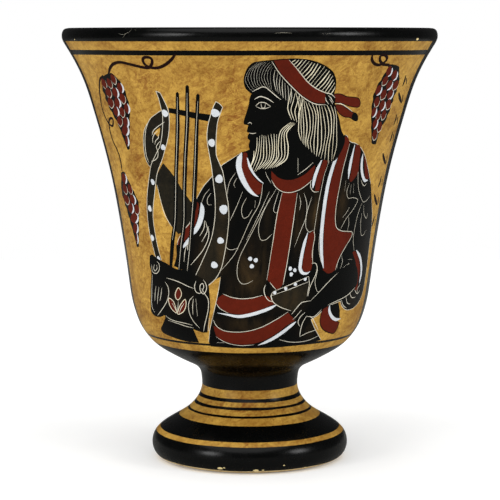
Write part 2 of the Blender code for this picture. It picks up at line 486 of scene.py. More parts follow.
for name in ("leftTendril", "rightTendril"):
    line("umber", vine[name], 0.9, 0.6)
line("umber", vine["leftTrail"], 0.72, 0.6)


# One grape: its shape, the pale arc round its lower end and the white touch on it, in shares of its
# width across and in the sheet's units along. The rest says how the grapes of a bunch are set.
grape = {
    "shape": [(0, -6.2), (0.4, -2.4), (0.4, 2), (0, 5), (-0.4, 2), (-0.4, -2.4)],
    "arc": [(-0.4, 1.4), (-0.1, 5.2), (0.36, 2.6), (0.46, -2.4)],
    "touch": [(0.04, 4.8), (0.36, 2.4), (0.46, -1.6), (0.36, -4.6)],
    "pitch": 5.8, "margin": 1.4, "shift": 0.8, "rows": 7,
}


def bunch(axis, touched):
    # A bunch of grapes: a dark ground, rows of red fruit, pale arcs and a few white touches.
    # The axis carries the bunch's width.
    fine = [along(axis, share) for share in np.linspace(0, 1, 22)]
    left, right = [], []
    for i, (u, v, width) in enumerate(fine):
        before, after = fine[max(0, i - 1)], fine[min(len(fine) - 1, i + 1)]
        course = np.array([after[0] - before[0], after[1] - before[1]])
        beside = np.array([course[1], -course[0]]) / np.linalg.norm(course)
        lumps = 1 + 0.05 * sin(2.3 * i)
        left.append(tuple(np.array([u, v]) - beside * width / 2 * lumps))
        right.append(tuple(np.array([u, v]) + beside * width / 2 * lumps))
    area("black", [*right, *left[::-1]])
    for row in range(grape["rows"]):
        share = (row + 0.7) / (grape["rows"] + 0.5)
        u, v, width = along(axis, share)
        u1, v1, _ = along(axis, min(1, share + 0.04))
        course = np.array([u1 - u, v1 - v]) / max(0.01, np.hypot(u1 - u, v1 - v))
        beside = np.array([course[1], -course[0]])
        room = width - grape["margin"]
        count = max(1, round(room / grape["pitch"]))
        size = room / count
        shift = (grape["shift"] if row % 2 else -grape["shift"]) * (count > 1)
        for k in range(count):
            offset = (k + 0.5) * size - room / 2 + shift
            middle = np.array([u, v]) + beside * offset + course * (0.4 * size * (k % 2))

            def placed(places):
                return [tuple(middle + beside * x * size + course * y) for x, y in places]

            area("red", placed(grape["shape"]))
            if (row, k) in touched:
                line("white", placed(grape["touch"]), 0.66)
            else:
                line("pale", placed(grape["arc"]), 0.26)


# Each bunch's axis, and its grapes with a white touch as (row, place)
bunches = {
    "upperLeft": (
        [(106.5, 75, 9.5), (110, 82.3, 17.5), (115, 94, 20.5), (120, 108, 19), (123.8, 122, 12.5),
         (126.2, 136, 7), (128.6, 149.5, 2)],
        {(1, 1), (1, 2), (2, 1), (3, 2), (3, 0), (4, 1), (5, 0), (6, 0)},
    ),
    "lowerLeft": (
        [(122.7, 172, 3), (127, 190, 11), (132.5, 206, 13), (135, 224, 8), (138, 247, 1.5)],
        {(0, 0), (2, 1), (3, 0), (4, 0), (5, 0), (6, 0)},
    ),
    "right": (
        [(394.5, 65.5, 9), (391, 79, 17), (383.8, 96, 20), (379.4, 114.5, 16.5), (375.6, 129.5, 9),
         (373.8, 144, 4)],
        {(0, 0), (0, 1), (1, 1), (2, 0), (2, 2), (3, 1), (4, 0), (5, 0)},
    ),
}
for axis, touched in bunches.values():
    bunch(axis, touched)

# Short strokes of the brush down the panel's right side, in pairs. Each pair's place is (across,
# down, lean), and the strokes' points are measured from it.
sideStrokes = {
    "places": [
        (404, 81, 1), (400.3, 98, -1), (395, 120, 1), (391, 137, 1), (384.5, 159, -1), (379.6, 182, 1),
        (376, 200, -1), (372.6, 222, 1),
    ],
    "leaning": [(1.6, -5), (0.5, 0), (-1.2, 4.6)], "upright": [(2.6, -2.6), (2.2, 3)],
}
for u, v, lean in sideStrokes["places"]:
    line("umber", [(u + x * lean, v + y) for x, y in sideStrokes["leaning"]], 1.15, 0.6)
    line("umber", [(u + x, v + y) for x, y in sideStrokes["upright"]], 1.0, 0.6)

# The figure's garment, behind everything that is held. Parts of its outline are scratched round.
garment = {
    "body": [
        (253, 148), (247, 150.6), (241.6, 152.5), (236, 156), (229, 160.5), (221, 166), (212, 176.5),
        (203, 187), (196, 200), (193, 215), (188, 228), (179.5, 238.5), (176.5, 245), (176.5, 256),
        (174, 266), (174, 266), (190, 274), (205, 283), (209, 285), (209, 285), (214, 280.5),
        (220.6, 276.8), (220.6, 276.8), (219.4, 285), (217.8, 294), (215, 307), (212, 319),
        (209.6, 331), (208.8, 342), (208.8, 342), (211, 346.5), (211, 346.5), (232, 348), (256, 348.2),
        (285, 346.8), (306, 344), (321, 340), (321, 340), (318, 334.5), (314, 327), (311, 319.5),
        (311, 319.5), (318, 315), (326, 307), (334, 303.6), (340.4, 301), (340.4, 301), (341.8, 306),
        (346, 309.8), (352, 308.8), (357.4, 304), (361.2, 297), (363.8, 287), (366.2, 272),
        (368.8, 250), (371.2, 230), (372.2, 215), (371.6, 199), (370.8, 184), (369.4, 175),
        (367, 163.5), (364.2, 153.5), (360, 146.6), (356, 143.4), (351.5, 142.2), (348.4, 139.8),
        (347.4, 136.2), (345, 134.8), (342.6, 137.4), (342.6, 137.4), (338, 128), (300, 140),
    ],
    "scratched": [(36, 58), (2, 9), (22, 29), (58, 68)],
}
area("black", garment["body"])
for start, stop in garment["scratched"]:
    line("pale", garment["body"][start:stop], 0.2)

# The arm that is raised behind the strings, with its cuff
arm = {
    "upper": [
        (163, 163), (157.8, 173), (155.5, 181), (158, 190), (161.4, 202), (165.8, 215.5), (171.5, 226),
        (178.5, 234.2), (178.5, 234.2), (184, 231), (191, 221), (196, 208), (196, 208), (191.2, 202),
        (186, 195), (181.8, 189.4), (177.2, 181), (170, 171), (163, 163), (163, 163),
    ],
    "cuffRed": [
        (196.4, 201.6), (196.4, 201.6), (193.6, 204), (193.8, 213), (191.4, 221), (185.4, 228),
        (180.6, 236), (176.6, 243.6), (176.6, 243.6), (179.6, 245.6), (179.6, 245.6), (185, 240.5),
        (191.4, 232.6), (196.4, 222), (198.4, 212), (198.6, 203.6),
    ],
    "cuffWhite": [
        (201.2, 202.8, 0.5), (202.2, 208, 1.2), (201.2, 217, 1.4), (197.6, 227, 1.3), (192.2, 235, 0.9),
    ],
    "cuffWhiteLow": [(190.4, 236.8, 0.9), (186.6, 243, 1.0), (182, 248.6, 0.5)],
    "upperEdge": [(157.2, 185), (160.6, 200.5), (165.4, 216), (171.5, 226.4)],
    "cuffEdge": [(196, 202), (193.4, 214), (190, 222.5), (183.2, 231), (178, 240.5), (177.4, 245)],
    "cuffLines": [
        [(204.4, 220.6), (204, 228), (199.8, 236)], [(205.4, 221), (207.4, 230), (201.6, 242)],
        [(208.4, 226.5), (208.6, 237), (203, 250), (190.4, 265.4)],
        [(187.2, 243), (184.8, 252), (184, 262)], [(181.4, 248), (179.8, 256), (179.4, 268)],
        [(189.2, 240), (187.6, 247), (188.8, 254)],
    ],
}
area("wash", arm["upper"])
line("pale", arm["upperEdge"], 0.26)
area("red", arm["cuffRed"])
line("pale", arm["cuffEdge"], 0.22)
line("white", arm["cuffWhite"])
line("white", arm["cuffWhiteLow"])
strokes("pale", arm["cuffLines"], 0.26)

# Folds scratched through the garment's black
folds = [
    [(235.4, 173), (230, 181), (228, 188), (227.3, 194.5)],
    [(236.9, 178), (233.8, 184.5), (235.2, 187.4)], [(242.8, 191.5), (236.4, 207), (229.8, 221)],
    [(246.6, 197.6), (242, 207), (241.8, 214), (243.8, 218.2), (248, 216.4), (252, 210)],
    [(255.4, 200.5), (254.8, 208)],
    [(262.8, 182.5), (261.6, 194), (258.4, 206), (251.4, 218), (242, 239), (234, 255), (221, 270.6)],
    [(269.4, 191.6), (262, 208), (254, 225), (246.5, 240)],
    [
        (276.4, 188.6), (266, 206), (254.6, 227), (245.6, 244.5), (239.4, 258), (237, 269.5),
        (238, 278.5), (241.6, 283.6), (247, 283.6), (252.8, 280.6),
    ],
    [(269.8, 198), (263.4, 212), (259.2, 224), (258.6, 233), (261.4, 240.2), (266, 239.6), (272, 234)],
    [(278.8, 191), (275.4, 202), (273.6, 210.5), (275, 212.6), (278, 212.6)],
    [(265.2, 171.6), (267.4, 177), (271, 183)], [(299.5, 195.4), (300.8, 203), (299.6, 210)],
    [(304, 193), (306.8, 203), (306, 217), (301, 230), (294.4, 247)],
    [(312, 197), (308.2, 208), (305.9, 219), (306.2, 228), (309.4, 232), (313.6, 230)],
    [(209.6, 189), (204.6, 195), (201.6, 202.6)],
    [(210.9, 193), (207.4, 199), (208, 204.4), (211.6, 205)],
    [(225, 244.8), (227.4, 248.6), (232, 249.8), (237.2, 248.2)],
    [
        (329.4, 160.6), (324.4, 174.6), (320.8, 191.6), (317.8, 207), (315.2, 224), (312.8, 242),
        (311.6, 262),
    ],
    [(319.6, 234), (318.8, 247), (320.4, 259), (324.6, 270.4)],
    [(358.6, 164), (358, 178), (359, 191), (363.6, 202), (367.4, 199.6), (369.8, 195.6)],
    [
        (349.6, 183), (346.8, 192), (348.4, 198.2), (353, 197.6), (357.6, 199.4), (354, 208), (346, 219),
        (340.6, 229),
    ],
    [(354, 183.6), (353.4, 193)], [(351.2, 184.6), (350.2, 194)], [(346, 180), (344.8, 191)],
    [(349.4, 207), (347, 212), (342.6, 217.6)], [(348.6, 217), (348.8, 224), (347.2, 231)],
    [(362, 203), (358, 214), (354.6, 229), (353.2, 241), (354.2, 250.6)],
    [(361.6, 213), (360.6, 224), (361.6, 235.6), (363.6, 234.6), (366, 230)],
    [(363.8, 205), (364, 214), (366.4, 218.4), (367.6, 213)],
    [(340.6, 255.6), (337.4, 263.6), (337, 268)], [(341.8, 256), (342.4, 262), (340.2, 268.6)],
    [(348.6, 263), (343, 268)], [(348.2, 259.4), (352, 259.6)],
    [(316.4, 263.4), (317.4, 270), (315, 283), (317.6, 291.6), (319.4, 292)],
]
strokes("pale", folds, 0.155)

# The coloured bands of the garment
trim = {
    "collarWhite": [
        (241.6, 153, 0.9), (239.4, 159, 1.4), (238.8, 167, 1.5), (242.4, 178.6, 1.45),
        (248.2, 188.6, 1.15), (253.4, 194, 0.75), (258.4, 196.6, 0.35),
    ],
    "collarRed": [
        (243.6, 152.4), (243.6, 152.4), (241.8, 166), (245.2, 179), (251, 189.8), (255.9, 194.6),
        (260.6, 193.8), (260.6, 193.8), (262.4, 184.8), (262.4, 184.8), (256.6, 180.2), (251, 173),
        (248, 164), (246.6, 153),
    ],
    "collarInner": [
        (247.2, 158, 0.75), (250, 167, 0.7), (254.6, 175, 0.5), (259.6, 180.4, 0.4), (263.6, 183.4, 0.3),
    ],
    "neckRed": [
        (271.4, 168.4), (271.4, 168.4), (276, 174.8), (283.2, 179.4), (291.3, 178.9), (300.2, 173.6),
        (309, 166.2), (315.4, 161.8), (315.4, 161.8), (314.6, 170), (311.6, 179.6), (311.6, 179.6),
        (306.4, 184.2), (300.2, 188.6), (291.3, 191.6), (283.2, 191.2), (276, 186.6), (271.8, 179.4),
    ],
    "chestRed": [
        (282.4, 192.4), (282.4, 192.4), (280, 202), (277, 216), (274.4, 234), (271, 255), (267.4, 280),
        (267.4, 280), (273.4, 286.6), (278.4, 290), (278.4, 290), (282.6, 284.6), (282.6, 284.6),
        (286.4, 264), (290.2, 240), (293.6, 216), (296.8, 192.6), (296.8, 192.6),
    ],
    "shoulderRed": [
        (324.2, 158.6), (324.2, 158.6), (328.4, 159.6), (328.4, 159.6), (325.4, 170), (321.6, 181),
        (319.2, 190.8), (319.2, 190.8), (315.2, 190.8), (315.2, 190.8), (316, 181), (319.4, 170),
    ],
    "shoulderWhite": [(322.4, 158.6, 0.7), (317.4, 169.6, 0.95), (314.2, 179.6, 0.95), (312.8, 188, 0.8)],
    "mantleRed": [
        (345.6, 136.4), (348, 137.6), (349.4, 143), (346.2, 155), (342.4, 169), (339.6, 184), (337, 197),
        (335.2, 210), (334.8, 222), (336.6, 228.8), (341.2, 231.6), (351.6, 232.6), (351.6, 232.6),
        (351.4, 235.6), (346, 244.6), (340.4, 254.6), (336.8, 263.6), (335.2, 269.6), (331.4, 272.6),
        (327.6, 273.4), (323, 270), (323, 270), (323.2, 254), (323.6, 237), (324.8, 219), (327.4, 199.6),
        (330.6, 182.6), (335.4, 165.6), (340.8, 150.4),
    ],
    "mantleWhite": [
        (344, 136.6, 0.6), (338.8, 150.4, 1.0), (333.2, 165.6, 1.05), (328.4, 182.6, 1.1),
        (325.3, 199.6, 1.1), (322.8, 219.2, 1.1), (321.4, 237, 1.1), (321.6, 255, 0.95),
        (323.4, 268, 0.6),
    ],
    "secondRed": [
        (356.2, 144.4), (356.2, 144.4), (359.6, 145.4), (360.6, 149.4), (359.4, 161), (358, 172.6),
        (354.8, 178), (350.8, 182), (349.6, 180), (351.2, 171.6), (353, 159.4),
    ],
    "secondWhite": [(354.8, 144.8, 0.7), (351.3, 159.6, 0.95), (349.4, 170, 0.95), (348.4, 178.6, 0.7)],
    "thirdRed": [
        (364.4, 155.2), (364.4, 155.2), (366.4, 161.4), (367.8, 169), (369, 178.6), (369, 178.6),
        (365.8, 178.6), (364.6, 170), (364.4, 162),
    ],
    "thirdWhite": [
        (363, 153.8, 0.5), (362, 160, 0.85), (361.7, 168.6, 0.95), (362.8, 176, 0.95), (365, 180.6, 0.9),
        (367.8, 180.2, 0.6),
    ],
    "sideRed": [
        (308.6, 234.2), (308.6, 234.2), (313.6, 230.8), (313.6, 230.8), (314.2, 236), (312.8, 245),
        (311.8, 256), (312.2, 264), (310.4, 270.6), (305.8, 272), (302.6, 269.4), (302.8, 261),
        (305, 250), (306.9, 241.6),
    ],
    "sideWhite": [
        (307.8, 232.6, 0.5), (304.8, 242, 0.85), (302.4, 252, 0.9), (300.6, 262, 0.95),
        (300.2, 269, 0.95), (302.6, 273, 0.85), (307, 273.4, 0.6), (310, 271.4, 0.35),
    ],
    "hemRed": [
        (222.6, 294.6), (222.6, 294.6), (231, 297.8), (241, 299.4), (252, 298.6), (262.8, 296),
        (268, 296.4), (274.2, 303.8), (274.2, 303.8), (262, 309.4), (252, 313), (243.6, 314.6),
        (228.3, 312.7), (220, 307.6), (216.1, 303.6), (218.6, 297.6),
    ],
    "hemWhite": [
        (217.4, 312.9, 0.3), (226, 314.4, 0.5), (238.5, 316.6, 0.85), (250, 314.9, 0.95),
        (262, 311.4, 0.95), (271, 307.8, 0.85), (277, 304.6, 0.5),
    ],
    "lowerRed": [
        (213.4, 326), (213.4, 326), (217, 327.2), (223.2, 331), (237.2, 332.9), (249, 331.6),
        (261.4, 328), (275, 321), (288.2, 312.7), (288.2, 312.7), (293, 317.6), (294.6, 321),
        (294.6, 321), (286, 326), (279.3, 331.6), (266, 339.6), (253.8, 343.6), (240, 344.6),
        (226, 341.8), (216.8, 336.6),
    ],
    "lowerWhite": [
        (258, 345.2, 0.35), (264.6, 342.8, 0.8), (272, 339.2, 1.0), (280, 334.2, 1.05),
        (288.6, 327.8, 0.95), (295.8, 321.8, 0.7),
    ],
    "cuffRed": [
        (352.4, 252.6), (352.4, 252.6), (354.6, 250.8), (357.4, 255), (359.4, 263), (359.6, 273),
        (357.8, 284), (357.6, 290), (357.6, 290), (355, 290.6), (355.4, 280), (356.4, 272), (355.4, 261),
    ],
    "cuffWhite": [
        (356.4, 250.2, 0.8), (359.6, 256, 1.0), (361.2, 264, 1.0), (361.2, 273, 0.95), (359.4, 283, 0.75),
    ],
    "tailRed": [
        (322.8, 308.8), (322.8, 308.8), (320.6, 316), (320.2, 324), (323, 329.4), (328, 332.4),
        (333.6, 333.4), (336.8, 329), (339.4, 322.4), (339.4, 322.4), (332.4, 318.6), (329, 312),
        (328.4, 305.6), (328.4, 305.6),
    ],
    "tailBlack": [
        (328.4, 305.6), (328.4, 305.6), (338.4, 302.4), (338.4, 302.4), (339.8, 310), (339.6, 319),
        (339.6, 319), (334, 319.4), (330.6, 314.6),
    ],
    "tailWhite": [
        (329.6, 305.4, 0.7), (329.4, 311, 0.8), (332, 316.8, 0.95), (336, 319.6, 0.9),
        (340.4, 318.6, 0.6),
    ],
    "edges": [
        [
            (271, 167.8), (276, 174.2), (283.2, 178.8), (291.3, 178.4), (300.2, 173), (309, 165.6),
            (315.8, 161.2),
        ],
        [
            (271.4, 180), (276, 187.4), (283.2, 191.9), (291.3, 192.4), (300.2, 189.4), (306.6, 185),
            (312, 180.2),
        ],
        [(282, 193), (277, 215), (273.8, 236), (270.4, 257), (266.8, 280)],
        [(297.4, 193), (294.2, 216), (290.6, 241), (286.8, 265), (283, 284.8)],
        [
            (349.8, 143.4), (346.8, 155), (343, 169), (340.2, 184), (337.6, 197), (335.8, 210),
            (335.4, 222), (337, 228.2), (341.6, 230.9), (352.2, 232.2), (351.6, 236.4), (346.4, 245.2),
            (340.8, 255.2), (337, 264.4), (335.4, 270),
        ],
        [(310.8, 180.4), (310.8, 187.6), (313.8, 191.8), (318.6, 191.7)],
        [(361.2, 180), (362.6, 184.4), (364.6, 185.8), (366.4, 183.4)],
        [(314.2, 231), (314.8, 237), (313.2, 246), (312.4, 256), (312.8, 264)],
        [(223, 293.9), (231, 297.2), (241, 298.8), (252, 298), (262.6, 295.3)],
        [(215.8, 303), (219.6, 308.2), (228.1, 313.3)],
        [
            (213.4, 320), (216, 325.4), (223.2, 330.4), (237.2, 332.2), (249, 331), (261.4, 327.3),
            (275, 320.3), (288, 312),
        ],
        [(216.4, 337), (226, 342.6), (240, 345.6), (254, 344.8)], [(217, 342.6), (224, 342.8)],
    ],
    "dots": [
        ((250.2, 258.8), 1.1), ((255.8, 260.2), 1.15), ((251.8, 266.2), 1.15), ((290.3, 268.6), 1.05),
        ((294.8, 270.2), 1.0), ((291.3, 274.3), 1.05),
    ],
}
for name in (
    "collarRed", "neckRed", "mantleRed", "shoulderRed", "secondRed", "thirdRed", "sideRed", "hemRed",
    "lowerRed", "chestRed", "cuffRed",
):
    area("red", trim[name])
area("black", trim["tailBlack"])
area("red", trim["tailRed"], "umber", 0.3)
for name in (
    "collarWhite", "collarInner", "shoulderWhite", "mantleWhite", "secondWhite", "thirdWhite",
    "sideWhite", "hemWhite", "lowerWhite", "cuffWhite", "tailWhite",
):
    line("white", trim[name], ends=0.3)
strokes("pale", trim["edges"], 0.24)
for place, size in trim["dots"]:
    dot("white", place, size, 1.1)

# The wide cup held out in front, with the arm and hand that hold it
wideCup = {
    "bowl": [
        (272.4, 293.6), (272.4, 293.6), (272.4, 298.8), (276.4, 305.4), (283.4, 309.6), (292, 311),
        (301, 306.8), (306.6, 297), (308.6, 283.6), (308.6, 283.6), (290, 289.8),
    ],
    "stripTop": [(272.6, 291.9), (285, 286.9), (297, 281.6), (308.6, 276.4)],
    "stripBottom": [(271.8, 295.6), (284, 291.4), (297, 286.4), (308.4, 281.8)],
    "leftHandle": [(265.4, 284.8), (264, 289.6), (265, 295.4), (268.6, 300.4), (273.4, 302)],
    "leftHandleInner": [(269.8, 282.2), (273, 286.4), (276.2, 289.8)],
    "lip": [(272.6, 291.9), (271.2, 295.6), (272.2, 299.6)],
    "rightHandle": [
        (311.8, 263.4), (315.4, 263.2), (317.2, 267.4), (316, 273.6), (313.4, 279.6), (309.8, 287.6),
        (308, 296),
    ],
    "belly": [(270.6, 295.6), (272.8, 301.6), (280, 307), (291, 310.8)],
    "strut": [(308.6, 276.4), (309.4, 284), (308, 291), (307.2, 296)],
    "studs": [(274.8, 292.7), (285.7, 288.6), (295.4, 284.3), (305.2, 279.2)],
    "wristLine": [(349.2, 263.4), (341, 270.4), (330.4, 280), (320.6, 290.4), (311, 300.4)],
    "hand": [
        (348.4, 264.4), (330.6, 280.2), (311, 301), (302.4, 302.2), (296, 308), (290, 315), (290, 315),
        (298, 322), (302, 330), (302, 330), (313, 317), (328, 306), (343, 298), (355, 288), (358, 276),
        (355, 264),
    ],
    "handLines": [
        [(311, 300.6), (306, 301.6), (302, 302.4), (296.4, 308.2), (291.6, 314.4)],
        [(301.6, 309.8), (297, 315.4), (293, 319.4)],
        [(304.8, 312.6), (300, 317.4), (298, 322.4), (299.6, 326.2)],
        [(306.8, 315.6), (303, 322), (301, 328), (299.6, 336.4)],
        [(310.4, 317.4), (315, 316), (321.4, 309.6)],
        [(355, 287.4), (350, 293), (343.4, 297.8), (336, 301.2), (328, 305)],
        [(299.6, 336.8), (307, 333), (316.4, 329.8)],
        [(306.6, 316.6), (311, 316.8), (314, 321), (318, 329.6)],
        [(279.3, 339.6), (288, 341.8), (297, 342.2), (308, 340.4), (318, 336)],
        [(341.4, 300), (343.6, 306), (346.4, 308)], [(346, 297), (347.6, 303.4), (350.2, 304)],
        [(349.6, 292.6), (351.8, 297.6), (355.6, 297)], [(354.6, 289.6), (357, 293.6), (359.8, 290.6)],
        [(360.4, 284), (357.4, 289), (357.4, 294)],
    ],
}
area("wash", wideCup["bowl"])
for name in (
    "stripTop", "stripBottom", "leftHandle", "leftHandleInner", "lip", "rightHandle", "belly", "strut",
):
    line("pale", wideCup[name], 0.26)
for u, v in wideCup["studs"]:
    dot("white", (u, v), 0.95)
line("pale", wideCup["wristLine"], 0.26)
area("black", wideCup["hand"])
strokes("pale", wideCup["handLines"], 0.25)

# The lyre: two curved arms with white studs, a crossbar and three strings, on a fluted soundbox
lyre = {
    "hand": [
        (161.6, 110.4), (155, 114.6), (151, 117.8), (147.6, 123), (144.6, 129), (143.3, 137),
        (143.4, 145), (144.2, 152.5), (145.8, 159.4), (149.4, 166), (153, 168), (158, 160), (163, 146),
        (167.4, 128), (168.2, 116), (165, 110),
    ],
    "palm": [
        (159.8, 127.6), (156.2, 130.2), (153.6, 133.4), (155.6, 134.4), (158.2, 136.6), (159.6, 133),
    ],
    "leftArm": [
        (155.8, 91.2), (155.8, 91.2), (159.8, 92.8), (162.4, 97.2), (166.6, 106), (168.8, 113.2),
        (169.3, 122), (169, 131), (167.4, 141), (165, 149.6), (162.4, 159), (158.8, 168), (156.6, 176),
        (155.4, 186), (154, 198), (153, 210), (153.4, 222), (155.6, 236), (158, 248), (161.4, 260),
        (161.4, 260), (156, 259), (156, 259), (153, 247), (149.8, 234), (147.6, 218), (146.9, 203),
        (147.5, 190), (149.2, 177), (150.8, 166), (155.4, 155), (159.6, 147), (161.6, 138), (162.6, 127),
        (162.4, 113.6), (161.2, 109), (158.6, 98.4),
    ],
    "rightArm": [
        (215.8, 101.6), (215.8, 101.6), (219.6, 103.8), (222.6, 107.2), (222.6, 107.2), (220.2, 113.6),
        (217.6, 122), (216.2, 136), (215.9, 146), (216.4, 155.6), (219.4, 163.4), (222.6, 171),
        (224.6, 183), (226.6, 194), (228.4, 206), (228.9, 218), (228, 230), (226.4, 243), (224.2, 256),
        (221.2, 268.4), (215.6, 278.8), (205, 288), (205, 288), (193.6, 280), (193.6, 280), (200, 266),
        (206, 252.6), (211.2, 239), (214.2, 224), (215.3, 211), (215, 197), (213.2, 181.6), (211.4, 166),
        (209.2, 154), (207.4, 144), (206.9, 135), (208, 125), (209.9, 117), (213.2, 107),
    ],
    "crossbar": [
        (168.6, 107.8), (168.6, 107.8), (180, 109.6), (195, 112.6), (210.6, 114.6), (210.6, 114.6),
        (208.8, 121.6), (208.8, 121.6), (195, 118.8), (180, 115), (168.8, 112.8), (168.8, 112.8),
    ],
    "soundbox": [
        (149.7, 255.6), (149.7, 255.6), (152.2, 254.6), (156, 257.4), (160, 260.2), (166, 263),
        (172, 267), (177, 269.2), (186, 270.6), (194, 274), (199.4, 277), (204.6, 279.6), (208.2, 284),
        (209.3, 291), (210, 299), (210.3, 308), (208.8, 318), (207.9, 326), (207.6, 332.4),
        (207.6, 332.4), (203, 332.6), (199, 331.4), (193.4, 329.4), (193.4, 329.4), (196, 335.6),
        (199.2, 342.6), (199.2, 342.6), (187, 341.6), (174, 337.8), (162.8, 332.4), (161, 328.6),
        (162.6, 324.6), (165.2, 318.4), (165.2, 318.4), (165, 315.4), (160.2, 317), (155.6, 316.2),
        (151.6, 312.4), (150.6, 306), (150.5, 292), (151.1, 280), (151.3, 272.6), (149.6, 265),
    ],
    "centrePetal": [
        (178.4, 287.8), (175.4, 293.2), (175.6, 297.4), (177.8, 300), (180.8, 296.8), (181.4, 292.6),
    ],
    "leftPetal": [
        (168.9, 298.2), (169.2, 304), (172.4, 309.8), (176.4, 312.9), (175.6, 307), (172.8, 300.6),
    ],
    "rightPetal": [
        (185.2, 299.4), (181.6, 303), (178.6, 309), (177.8, 314.2), (183.2, 311.8), (186, 305.2),
    ],
    "strings": [
        ([(195.6, 197), (196, 205), (193.6, 214)], 0.6),
        ([(177.4, 93.4), (177.6, 130), (176.2, 170), (175.2, 221), (172.6, 241), (170.8, 268)], 1.3),
        ([
            (187.2, 86.4), (187.3, 120), (185.6, 152), (184.4, 190), (184.2, 222), (181.2, 245),
            (179.4, 270),
        ], 1.32),
        ([
            (197.9, 95.2), (196.6, 130), (195.8, 156), (194.1, 199), (192.4, 222), (190.2, 250),
            (188, 271),
        ], 1.34),
    ],
    "stringShines": [
        [(177.3, 97), (177.2, 130), (175.9, 170), (174.9, 221), (172.4, 240)],
        [(187, 93), (187, 120), (185.2, 152), (184, 190), (183.8, 222), (181, 244), (178.8, 270)],
        [(197.8, 101), (196, 130), (195.2, 156), (193.2, 199), (191.4, 222), (189.4, 250), (187.2, 271)],
    ],
    "handLines": [
        [(149.4, 119.8), (146.4, 127), (145, 137), (145.2, 148), (147, 158), (149, 162.6)],
        [(164.4, 122), (157.6, 126.6), (153.2, 131), (152, 135.4)],
        [(157.4, 131), (154, 134.6), (152.6, 139), (153, 143)],
        [(158.2, 134.6), (158.4, 137.8), (155.6, 140.8), (154.8, 144.6)],
        [(159.8, 141.4), (156.4, 146.6), (158, 152), (157.6, 157), (155, 160), (151.2, 161.4)],
    ],
    "studs": [
        (165, 113.3, 1.9, 1.1), (163.1, 147.4, 1.5, 1.1), (152.7, 182, 1.4, 1.2),
        (149.8, 208.5, 1.4, 1.35), (152.4, 238, 1.35, 1.3), (158.5, 258.6, 1.2, 1.2),
        (215.2, 113, 2.4, 0.95), (211.6, 142.8, 1.95, 1.1), (219.1, 179, 2.1, 1.15),
        (223.6, 209.4, 2.2, 1.25), (220.5, 240.6, 1.8, 1.05), (214.3, 265, 1.85, 1.05),
    ],
    "carving": [
        [(166.6, 278), (173, 279.8), (180, 282.4), (187, 286), (193.4, 288.4)],
        [(165.2, 282), (168, 287), (168.8, 293), (167, 301), (163, 308), (157.6, 315.4)],
        [(156, 286), (155, 294), (154.8, 301)], [(159, 287), (157.8, 296), (157.4, 303.6)],
        [(161.8, 288), (161, 295), (159.8, 301)],
        [(152.4, 274.6), (151.8, 290), (152, 306), (154.6, 312.6)],
        [(193.2, 296.4), (189.6, 300.4), (188.4, 307), (190, 315), (194, 322), (199.6, 328)],
        [(193.4, 299), (192.6, 306), (193, 314.6)], [(195.8, 299), (196.4, 307), (197.4, 316)],
        [(165.6, 315.6), (170, 319), (177, 321.6), (184, 323), (192.4, 325.2)],
        [(168, 320.2), (173, 322), (180, 324.2), (187, 326.6), (193.6, 328)],
        [(172, 303), (175, 308), (177, 313.6)], [(178.4, 301), (178, 306), (177.4, 312.6)],
        [(184, 303.4), (181, 308), (179, 313.6)],
        [
            (203.2, 279.6), (206, 284.4), (206.4, 289.6), (203.4, 294), (200.4, 290.8), (200.2, 285.4),
            (202.4, 283.4), (203.8, 287), (202, 291),
        ],
        [(196, 281), (194.6, 286), (195.8, 291.6), (199.2, 293.4), (202.6, 291.6)],
        [
            (201.8, 288.6), (204.8, 294), (208, 299), (208.4, 308), (206.4, 318), (204.4, 326),
            (203.6, 331.4),
        ],
        [(151.6, 265), (152.6, 271.6), (156, 273.6), (159.2, 270), (158.8, 263.6), (157, 261.4)],
        [(154.6, 264.6), (153.6, 268), (155, 271), (157.2, 268), (156.2, 264.6)],
        [(209.4, 318), (208.6, 325), (208.2, 331)],
    ],
}
area("wash", lyre["hand"], "pale", 0.2)
area("ochre", lyre["palm"])
area("black", lyre["crossbar"])
for places, thick in lyre["strings"]:
    line("black", places, thick, 0.75)
strokes("pale", lyre["stringShines"], 0.18)
area("wash", lyre["leftArm"], "pale", 0.24)
area("wash", lyre["rightArm"], "pale", 0.24)
strokes("pale", lyre["handLines"], 0.28)
for u, v, size, tall in lyre["studs"]:
    dot("white", (u, v), size, tall)
area("black", lyre["soundbox"])
for name in ("leftPetal", "rightPetal", "centrePetal"):
    area("red", lyre[name], "cream", 0.2)
strokes("pale", lyre["carving"], 0.26)

